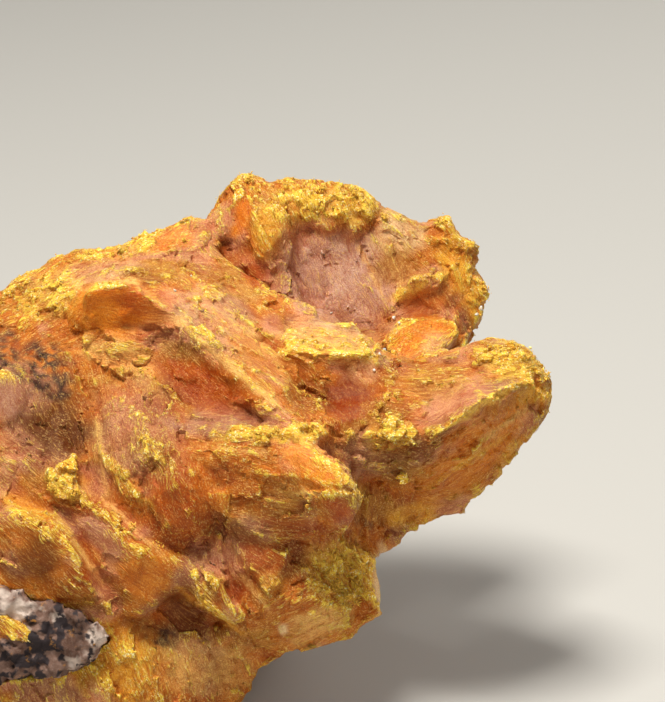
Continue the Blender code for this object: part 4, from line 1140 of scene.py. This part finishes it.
def orpiment_finish():
    recipe = Recipe("orpiment_finish")
    where = recipe.place()
    fibres, flakes = blade_noise(recipe, where)
    crust = recipe.attribute("crust")
    hollow_shade = recipe.attribute("hollow_shade")
    rough_face = recipe.attribute("rough_face")
    clouds = recipe.grain(where, 2.6, 5.0, 0.6)
    speckle = recipe.grain(where, 0.2, 4.0, 0.65)
    satin = recipe.grain(where, 0.13, 2.0, 0.5)
    powder = recipe.cells(where, 0.28)
    streaks = 2.4 * (fibres - 0.5) + 1.2 * (flakes - 0.5)
    # Painted glints: a few tiny cells are turned pale yellow, standing in for sparkles of light.
    painted_glint_cells = recipe.cells(where, 0.13, output="Color")
    painted_glint = recipe.make("ShaderNodeSeparateColor", {}, {0: painted_glint_cells}).step(0.86, 0.92)

    colour = recipe.attribute("tint", "Color")
    colour = recipe.multiply(clouds.step(0.62, 0.34) * 0.45, colour, tint(205, 140, 84))
    colour = recipe.multiply(streaks.step(0.0, -0.5) * 0.6, colour, tint(205, 130, 70))
    lines = streaks.step(0.1, 0.5) * (0.22 + 0.6 * rough_face)
    colour = recipe.blend(lines, colour, tint(254, 208, 116))
    colour = recipe.blend(painted_glint * (0.06 + 0.4 * rough_face), colour, tint(255, 222, 140))
    colour = recipe.multiply(satin.step(0.6, 0.36) * 0.45, colour, tint(200, 138, 84))
    # Painted shade: hollows are darkened towards a deep brown-orange.
    colour = recipe.multiply(hollow_shade * 0.5, colour, tint(190, 112, 50))
    dust = (crust + 0.9 * streaks + 1.0 * (speckle - 0.5)).step(0.1, 1.15)
    lemon = recipe.blend(streaks.step(-0.35, 0.35), tint(228, 164, 42), tint(255, 232, 96))
    lemon = recipe.multiply(powder.step(0.15, 0.7) * 0.35, lemon, tint(228, 176, 90))
    lemon = recipe.blend(painted_glint * 0.8, lemon, tint(255, 246, 190))
    colour = recipe.blend(dust, colour, lemon)

    gloss = 0.38 + 0.14 * dust + 0.3 * (fibres - 0.5) + 0.1 * rough_face
    tall = (0.35 + 0.75 * rough_face) * (fibres + flakes) + (0.15 + 0.4 * rough_face) * speckle
    tall = tall + 0.3 * satin
    tall = tall + dust * (0.3 * (1 - powder) + 0.3 * speckle)
    recipe.fill(recipe.shader, {
        "Base Color": colour,
        "Roughness": gloss.clip(),
        "Normal": recipe.bump(tall, 0.9, 0.2),
        "Specular IOR Level": 0.45,
        "Specular Tint": SHEEN,
        **glow(0.1, (1.0, 0.42, 0.08), 0.8),
    })
    return recipe.material


dress(lump, orpiment_finish())

# %% [markdown]
# ## Scales, needles and crumbs
# Close up, the mineral is made of thousands of loose ends: thin scales that lie along the blades,
# needles, and crumbs of yellow crust, each a fraction of a millimetre. A few forms are made once.
# Copies of them, turned and sized by chance, are set half sunk into the surface. Each kind is one
# mesh, and each scale and needle has the tint of the place where it lies, a little lighter or darker.

# %% Small forms
dice = np.random.default_rng(20)


def chip_form(corners):
    """One irregular chip about one unit wide, as points and triangles."""
    build = bmesh.new()
    directions = unit(dice.normal(size=(corners, 3)))
    add_hull(build, directions * dice.uniform(0.35, 0.5, size=(corners, 1)))
    bmesh.ops.triangulate(build, faces=build.faces)
    build.verts.index_update()
    points = np.array([vert.co for vert in build.verts])
    triangles = np.array([[vert.index for vert in face.verts] for face in build.faces])
    build.free()
    return points, triangles


def scale_form(sides):
    """A flat uneven polygon whose underside tapers to a point."""
    turns = (np.arange(sides) + dice.uniform(-0.3, 0.3, sides)) * math.tau / sides
    reach = dice.uniform(0.35, 0.5, sides)
    top = np.stack([reach * np.cos(turns), reach * np.sin(turns), np.zeros(sides)], axis=1)
    points = np.vstack([top, [[0.0, 0.0, -1.0]]])
    triangles = [(0, n, n + 1) for n in range(1, sides - 1)]
    triangles += [((n + 1) % sides, n, sides) for n in range(sides)]
    return points, np.array(triangles)


def needle_form():
    """A needle with a three-sided middle and two tips."""
    points = [(0.5, 0.0, 0.0), (-0.5, 0.0, 0.0)]
    for turn in (90, 210, 330):
        points.append((0.1, 0.5 * math.cos(math.radians(turn)), 0.5 * math.sin(math.radians(turn))))
    triangles = []
    for one, other in ((2, 3), (3, 4), (4, 2)):
        triangles += [(0, one, other), (1, other, one)]
    return np.array(points), np.array(triangles)


# %% Many copies as one mesh
def piece_of_copies(name, forms, spots, turns, sizes, layer=None, values=None):
    """One mesh with a copy of one of the forms at each spot, and what is stored for each copy."""
    points = []
    triangles = []
    owners = []
    start = 0
    for number, (corners, faces) in enumerate(forms):
        own = np.arange(number, len(spots), len(forms))
        sized = corners[None, :, :] * sizes[own][:, None, :]
        placed = np.einsum("nij,nkj->nki", turns[own], sized) + spots[own][:, None, :]
        shift = start + len(corners) * np.arange(len(own))
        points.append(placed.reshape(-1, 3))
        triangles.append((faces[None, :, :] + shift[:, None, None]).reshape(-1, 3))
        owners.append(np.repeat(own, len(corners)))
        start += len(corners) * len(own)
    points = inside_box(np.concatenate(points)).astype(np.float32)
    triangles = np.concatenate(triangles).astype(np.int32)
    mesh = bpy.data.meshes.new(name)
    mesh.vertices.add(start)
    mesh.vertices.foreach_set("co", points.ravel())
    mesh.loops.add(triangles.size)
    mesh.loops.foreach_set("vertex_index", triangles.ravel())
    mesh.polygons.add(len(triangles))
    mesh.polygons.foreach_set("loop_start", np.arange(0, triangles.size, 3, dtype=np.int32))
    mesh.update(calc_edges=True)
    mesh.validate()
    if layer:
        store(mesh, layer, values[np.concatenate(owners)])
    print(name + ":", len(triangles), "triangles")
    return new_object(name, mesh)


def chance_turns(count):
    """Rotations in every direction, one 3 by 3 array each."""
    w, x, y, z = unit(dice.normal(size=(count, 4))).T
    return np.stack([
        np.stack([1 - 2 * (y * y + z * z), 2 * (x * y - z * w), 2 * (x * z + y * w)], axis=1),
        np.stack([2 * (x * y + z * w), 1 - 2 * (x * x + z * z), 2 * (y * z - x * w)], axis=1),
        np.stack([2 * (x * z - y * w), 2 * (y * z + x * w), 1 - 2 * (x * x + y * y)], axis=1),
    ], axis=1)


def chance_sizes(count, *ranges):
    """One column of chance sizes for each lowest and highest size."""
    return np.stack([dice.uniform(low, high, size=count) for low, high in ranges], axis=1)


# %% Laying copies on the lump
def pick(weights, count):
    """Chooses this many points, more often where the weight is high."""
    return dice.choice(len(weights), size=count, replace=False, p=weights / weights.sum())


def laid_along(homes, tip, sway):
    """Rotations that lay copies on the surface along the blades, tipped and swayed by chance."""
    up = lump_normals[homes] + dice.normal(size=(len(homes), 3)) * tip
    along = lump_alongs[homes] + dice.normal(size=(len(homes), 3)) * sway
    side = unit(np.cross(up, along))
    up = unit(up)
    return np.stack([np.cross(side, up), side, up], axis=2)


FOOT_ZONE = 1.0
SEEN_LEAST = 0.25
SCATTER = 0.02
LOWEST_LIFT = -0.03
seen_weight = (SEEN_LEAST + front_share(lump_normals)) * (lump_points[:, 2] > FOOT_ZONE)


def own_tints(homes):
    """The tint of each home, lighter by chance, and lemon where the crust is thick."""
    colours = lump_colours[homes] * dice.uniform(1.0, 1.4, size=(len(homes), 1))
    share = 0.5 * (dice.uniform(size=len(homes)) < 0.3) * dice.uniform(size=len(homes))
    colours += share[:, None] * (tint_rows(["straw"]) - colours)
    crusted = soft_step(lump_crust[homes] + dice.normal(size=len(homes)) * 0.25, 0.25, 0.95)
    bright = tint_rows(["lemon"]) * dice.uniform(0.7, 1.1, size=(len(homes), 1))
    colours += (0.9 * crusted)[:, None] * (bright - colours)
    return np.clip(colours, 0, 1)


def scattered(name, weights, forms, sizes, tip, sway, highest):
    """One mesh of copies of the forms, laid where the weights are high."""
    count = len(sizes)
    homes = pick(weights * seen_weight, count)
    lifts = dice.uniform(LOWEST_LIFT, highest, size=(count, 1))
    spots = lump_points[homes] + lump_normals[homes] * lifts
    spots += dice.normal(size=(count, 3)) * SCATTER
    turns = laid_along(homes, tip, sway)
    return piece_of_copies(name, forms, spots, turns, sizes, "tint", own_tints(homes))


# %% Scales and needles
SCALE_COUNT = 2400
scale_length = dice.gamma(2.2, 0.22, size=SCALE_COUNT).clip(0.2, 1.5)
scale_sizes = np.stack([
    scale_length,
    scale_length * dice.uniform(0.3, 0.6, size=SCALE_COUNT),
    dice.uniform(0.06, 0.14, size=SCALE_COUNT),
], axis=1)
scales = scattered("orpiment_scales", 0.01 + lump_rough ** 2, [scale_form(5) for _ in range(8)],
                   scale_sizes, tip=0.07, sway=0.25, highest=0.02)

NEEDLE_COUNT = 12000
needle_length = dice.gamma(2.5, 0.28, size=NEEDLE_COUNT).clip(0.25, 2.0)
needle_sizes = np.column_stack([
    needle_length, chance_sizes(NEEDLE_COUNT, (0.03, 0.08), (0.03, 0.08)),
])
needles = scattered("orpiment_needles", 0.02 + lump_rough, [needle_form()],
                    needle_sizes, tip=0.06, sway=0.16, highest=0.04)

# %% Crumbs
CRUMB_COUNT = 2400
CRUMB_LEAST = (1.0, 0.6, 0.3)
CRUMB_MOST = (2.2, 1.2, 0.7)
crumb_homes = pick(soft_step(lump_crust, 0.4, 1.5) ** 2 * seen_weight, CRUMB_COUNT)
crumb_sizes = dice.gamma(2.0, 0.08, size=CRUMB_COUNT).clip(0.08, 0.5)[:, None]
crumb_spots = lump_points[crumb_homes] + dice.normal(size=(CRUMB_COUNT, 3)) * 0.1
crumb_sizes = crumb_sizes * dice.uniform(CRUMB_LEAST, CRUMB_MOST, size=(CRUMB_COUNT, 3))
crumb_forms = [chip_form(corners) for corners in (6, 7, 7, 8, 8, 9)]
crumb_turns = chance_turns(CRUMB_COUNT)
crumbs = piece_of_copies("yellow_crumbs", crumb_forms, crumb_spots, crumb_turns, crumb_sizes,
                         "shade", dice.uniform(0, 1, size=CRUMB_COUNT))

# %% [markdown]
# ## Tufts and white grains
# In a few places needles stand up in little tufts, mostly on the crest of the plate, along the crust
# of the prong and on the shoulder. Here and there sits a white grain of another mineral. Both are
# placed by pointing at them on the front view.

# %% Tufts
# Across and down.
TUFTS = [
    (8.9, 25.4), (8.2, 25.8), (24.9, 18.0), (28.8, 18.6), (32.2, 18.9), (35.6, 19.4), (38.4, 21.8),
    (44.0, 22.3), (46.8, 24.5), (48.4, 28.9), (49.9, 35.0), (51.2, 35.0), (52.6, 35.9), (54.6, 37.6),
    (15.8, 54.6), (13.2, 52.8), (34.4, 56.0), (35.6, 58.2), (33.6, 58.6), (34.6, 59.6), (6.4, 46.6),
    (33.4, 55.4), (35.2, 55.2), (36.2, 57.0), (34.2, 60.6), (35.6, 60.2), (36.6, 59.2), (32.8, 57.4),
    (7.4, 49.4), (5.2, 48.8), (27.6, 43.2), (31.2, 42.8), (39.2, 42.6), (18.4, 24.2), (3.4, 29.8),
]
TUFT_NEEDLES = 45
TUFT_REACH = 0.22
NEAR_OF_EDGE = -16.0


def spots_on_front(places):
    """Points of the surface at places of the front view, in x, y and z."""
    return np.array([
        place(across, down, nearness(across, down) or NEAR_OF_EDGE) for across, down in places
    ])


tuft_homes = np.repeat(spots_on_front(TUFTS), TUFT_NEEDLES, axis=0)
tuft_count = len(tuft_homes)
outward = unit(UPWARD * 0.8 + TOWARD * 0.6 + dice.normal(size=(tuft_count, 3)) * 0.7)
beside = unit(np.cross(outward, RIGHT))
tuft_turns = np.stack([outward, beside, np.cross(outward, beside)], axis=2)
tuft_sizes = chance_sizes(tuft_count, (0.3, 0.85), (0.08, 0.2), (0.08, 0.2))
tuft_homes += dice.normal(size=(tuft_count, 3)) * TUFT_REACH
tuft_tints = tint_rows(["lemon"]) * dice.uniform(0.7, 1.25, size=(tuft_count, 1))
tufts = piece_of_copies("yellow_tufts", [needle_form()], tuft_homes, tuft_turns, tuft_sizes,
                        "tint", tuft_tints)

# %% White grains
# Across, down and size.
WHITE_GRAINS = [
    (48.0, 30.9, 0.45), (47.6, 31.4, 0.3), (39.4, 31.8, 0.3), (39.9, 32.3, 0.2), (33.1, 31.3, 0.2),
    (17.5, 29.0, 0.22), (19.1, 27.6, 0.16), (37.9, 35.4, 0.24), (52.3, 35.6, 0.26), (50.7, 36.4, 0.2),
    (37.4, 37.0, 0.2), (9.0, 25.4, 0.2), (7.4, 31.6, 0.14), (2.6, 66.6, 0.2), (30.8, 21.4, 0.16),
]
GRAIN_PROUD = 0.12
GRAIN_SHAPE = np.array([1.2, 1.0, 0.8])
GRAIN_GROWTH = 2.2

grain_spots = spots_on_front([grain[:2] for grain in WHITE_GRAINS]) + TOWARD * GRAIN_PROUD
grain_sizes = GRAIN_GROWTH * np.array([grain[2] for grain in WHITE_GRAINS])[:, None] * GRAIN_SHAPE
grain_forms = [chip_form(9), chip_form(11)]
grains = piece_of_copies("white_grains", grain_forms, grain_spots, chance_turns(len(WHITE_GRAINS)),
                         grain_sizes)

# %% [markdown]
# ## Finishes of the small pieces
# The scales and needles take the tint stored for each copy. The crumbs run from gold to pale yellow
# by their own chance shade. The white grains are cloudy and let light a little way in.

# %% Grain, scale and crumb materials
def grain_finish():
    recipe = Recipe("grain_finish")
    veils = recipe.grain(recipe.place(), 0.25, 3.0, 0.6)
    recipe.fill(recipe.shader, {
        "Base Color": recipe.blend(veils.step(0.35, 0.7), tint(214, 196, 168), tint(250, 246, 236)),
        "Roughness": (0.1 + 0.4 * veils).clip(),
        "Normal": recipe.bump(veils, 0.4, 0.08),
        **glow(0.4, (1.0, 0.9, 0.7), 0.6),
    })
    return recipe.material


def scale_finish():
    recipe = Recipe("scale_finish")
    speckle = recipe.grain(recipe.place(), 0.15, 3.0, 0.6)
    colour = recipe.attribute("tint", "Color")
    recipe.fill(recipe.shader, {
        "Base Color": recipe.multiply(speckle.step(0.6, 0.3) * 0.5, colour, tint(210, 150, 90)),
        "Roughness": (0.3 + 0.3 * speckle).clip(),
        "Normal": recipe.bump(speckle, 0.6, 0.06),
        "Specular IOR Level": 0.4,
        "Specular Tint": SHEEN,
        **glow(0.12, (1.0, 0.5, 0.12), 0.6),
    })
    return recipe.material


def crumb_finish():
    recipe = Recipe("crumb_finish")
    shade = recipe.attribute("shade")
    speckle = recipe.grain(recipe.place(), 0.2, 3.0, 0.6)
    colour = recipe.blend(shade.step(0.0, 0.6), tint(222, 150, 40), tint(250, 206, 70))
    colour = recipe.blend(shade.step(0.75, 1.0), colour, tint(255, 236, 150))
    recipe.fill(recipe.shader, {
        "Base Color": recipe.multiply(speckle.step(0.55, 0.35) * 0.4, colour, tint(220, 160, 90)),
        "Roughness": (0.35 + 0.35 * speckle).clip(),
        "Normal": recipe.bump(speckle, 0.5, 0.08),
        "Specular IOR Level": 0.6,
        **glow(0.25, (1.0, 0.6, 0.15), 0.6),
    })
    return recipe.material


dress(grains, grain_finish())
dress(crumbs, crumb_finish())
scale_material = scale_finish()
for piece in (scales, needles, tufts):
    dress(piece, scale_material)

# %% [markdown]
# ## The host rock
# The rock is a fine-grained grey stone with white carbonate and black grains. Its solid is skinned
# and roughened like the lump, and grown by a hair so that it meets the orpiment. White and black
# mottles are clouds of noise that are stronger at the places where the front shows them.

# %% Rock
ROCK_CELL = 0.25
ROCK_EVEN_ROUNDS = 4
ROCK_TRIANGLES = 60000
ROCK_GROWTH = 0.12

rock = skin_of("rock_patch", rock_build, ROCK_CELL)


def carve_rock(mesh):
    set_points(mesh, smoothed(mesh, points_of(mesh), ROCK_EVEN_ROUNDS))
    points = points_of(mesh)
    heights = ROCK_GROWTH + 0.35 * wander(points, 2.2, 4, 4.0)
    heights += chips(points, size=1.5, tilt=0.4, salt=40.0, lift=0.35)
    heights += 0.14 * wander(points, 0.6, 2, 6.0)
    set_points(mesh, inside_box(points + normals_of(mesh) * heights[:, None]))


carve_rock(rock.data)
thin_out(rock, ROCK_TRIANGLES)
rock.data.shade_smooth()
print("rock:", triangles_in(rock.data), "triangles")

# %% Mottles of the rock
# Across, down, reach, how much it adds to the white and to the black.
ROCK_MOTTLES = [
    (0.8, 60.4, 2.2, 1.0, -0.5), (4.6, 61.4, 1.4, 0.3, 0.0), (10.2, 64.2, 1.6, 0.35, -0.2),
    (4.6, 64.0, 1.6, -0.4, 0.6), (2.2, 65.8, 1.4, -0.4, 0.6), (6.6, 62.6, 1.2, -0.2, 0.3),
    (8.4, 65.2, 1.6, 0.1, -0.1), (6.0, 66.2, 1.6, -0.1, -0.2), (-8.0, 64.0, 4.0, 0.2, 0.1),
]


def paint_rock(mesh):
    points = points_of(mesh)
    across, down, _ = seen_from_front(points)
    white = 0.9 * wander(points, 2.2, 4, 12.0) - 0.15
    black = 0.9 * wander(points, 1.0, 5, 44.0) + 0.1
    for spot_across, spot_down, reach, more_white, more_black in ROCK_MOTTLES:
        away = (across - spot_across) ** 2 + (down - spot_down) ** 2
        share = np.exp(-away / reach ** 2)
        white += share * more_white
        black += share * more_black
    store(mesh, "white", soft_step(white, 0.1, 0.55))
    store(mesh, "black", soft_step(black, 0.0, 0.6))


paint_rock(rock.data)


# %% Rock material
def rock_finish():
    recipe = Recipe("rock_finish")
    where = recipe.place()
    speckle = recipe.grain(where, 0.3, 4.0, 0.65)
    clouds = recipe.grain(where, 1.6, 4.0, 0.6)
    white = (recipe.attribute("white") + 0.7 * (speckle - 0.5)).clip()
    black = (recipe.attribute("black") + 1.3 * (speckle - 0.5)).step(0.2, 0.8)
    colour = recipe.blend(clouds.step(0.35, 0.65), tint(96, 66, 52), tint(132, 102, 88))
    colour = recipe.blend(white, colour, tint(208, 188, 174))
    colour = recipe.blend(black, colour, tint(40, 28, 30))
    stain = recipe.grain(where, 1.1, 3.0, 0.6).step(0.6, 0.72)
    colour = recipe.blend(stain * 0.6, colour, tint(206, 140, 52))
    recipe.fill(recipe.shader, {
        "Base Color": colour,
        "Roughness": (0.9 - 0.35 * speckle).clip(),
        "Normal": recipe.bump(speckle + 0.6 * clouds, 0.7, 0.2),
        "Specular IOR Level": 0.4,
    })
    return recipe.material


dress(rock, rock_finish())

# %% [markdown]
# ## Ready to show
# Everything was made in millimetres and is now brought to metres. Every piece rides on the one body
# of the part, and the two skins stand for their solids, which are hidden.

# %% Attach the pieces
for piece in (lump, scales, needles, tufts, grains, crumbs, rock):
    set_points(piece.data, points_of(piece.data) * MM)
    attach(piece, "root")
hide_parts("orpiment")
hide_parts("host_rock")
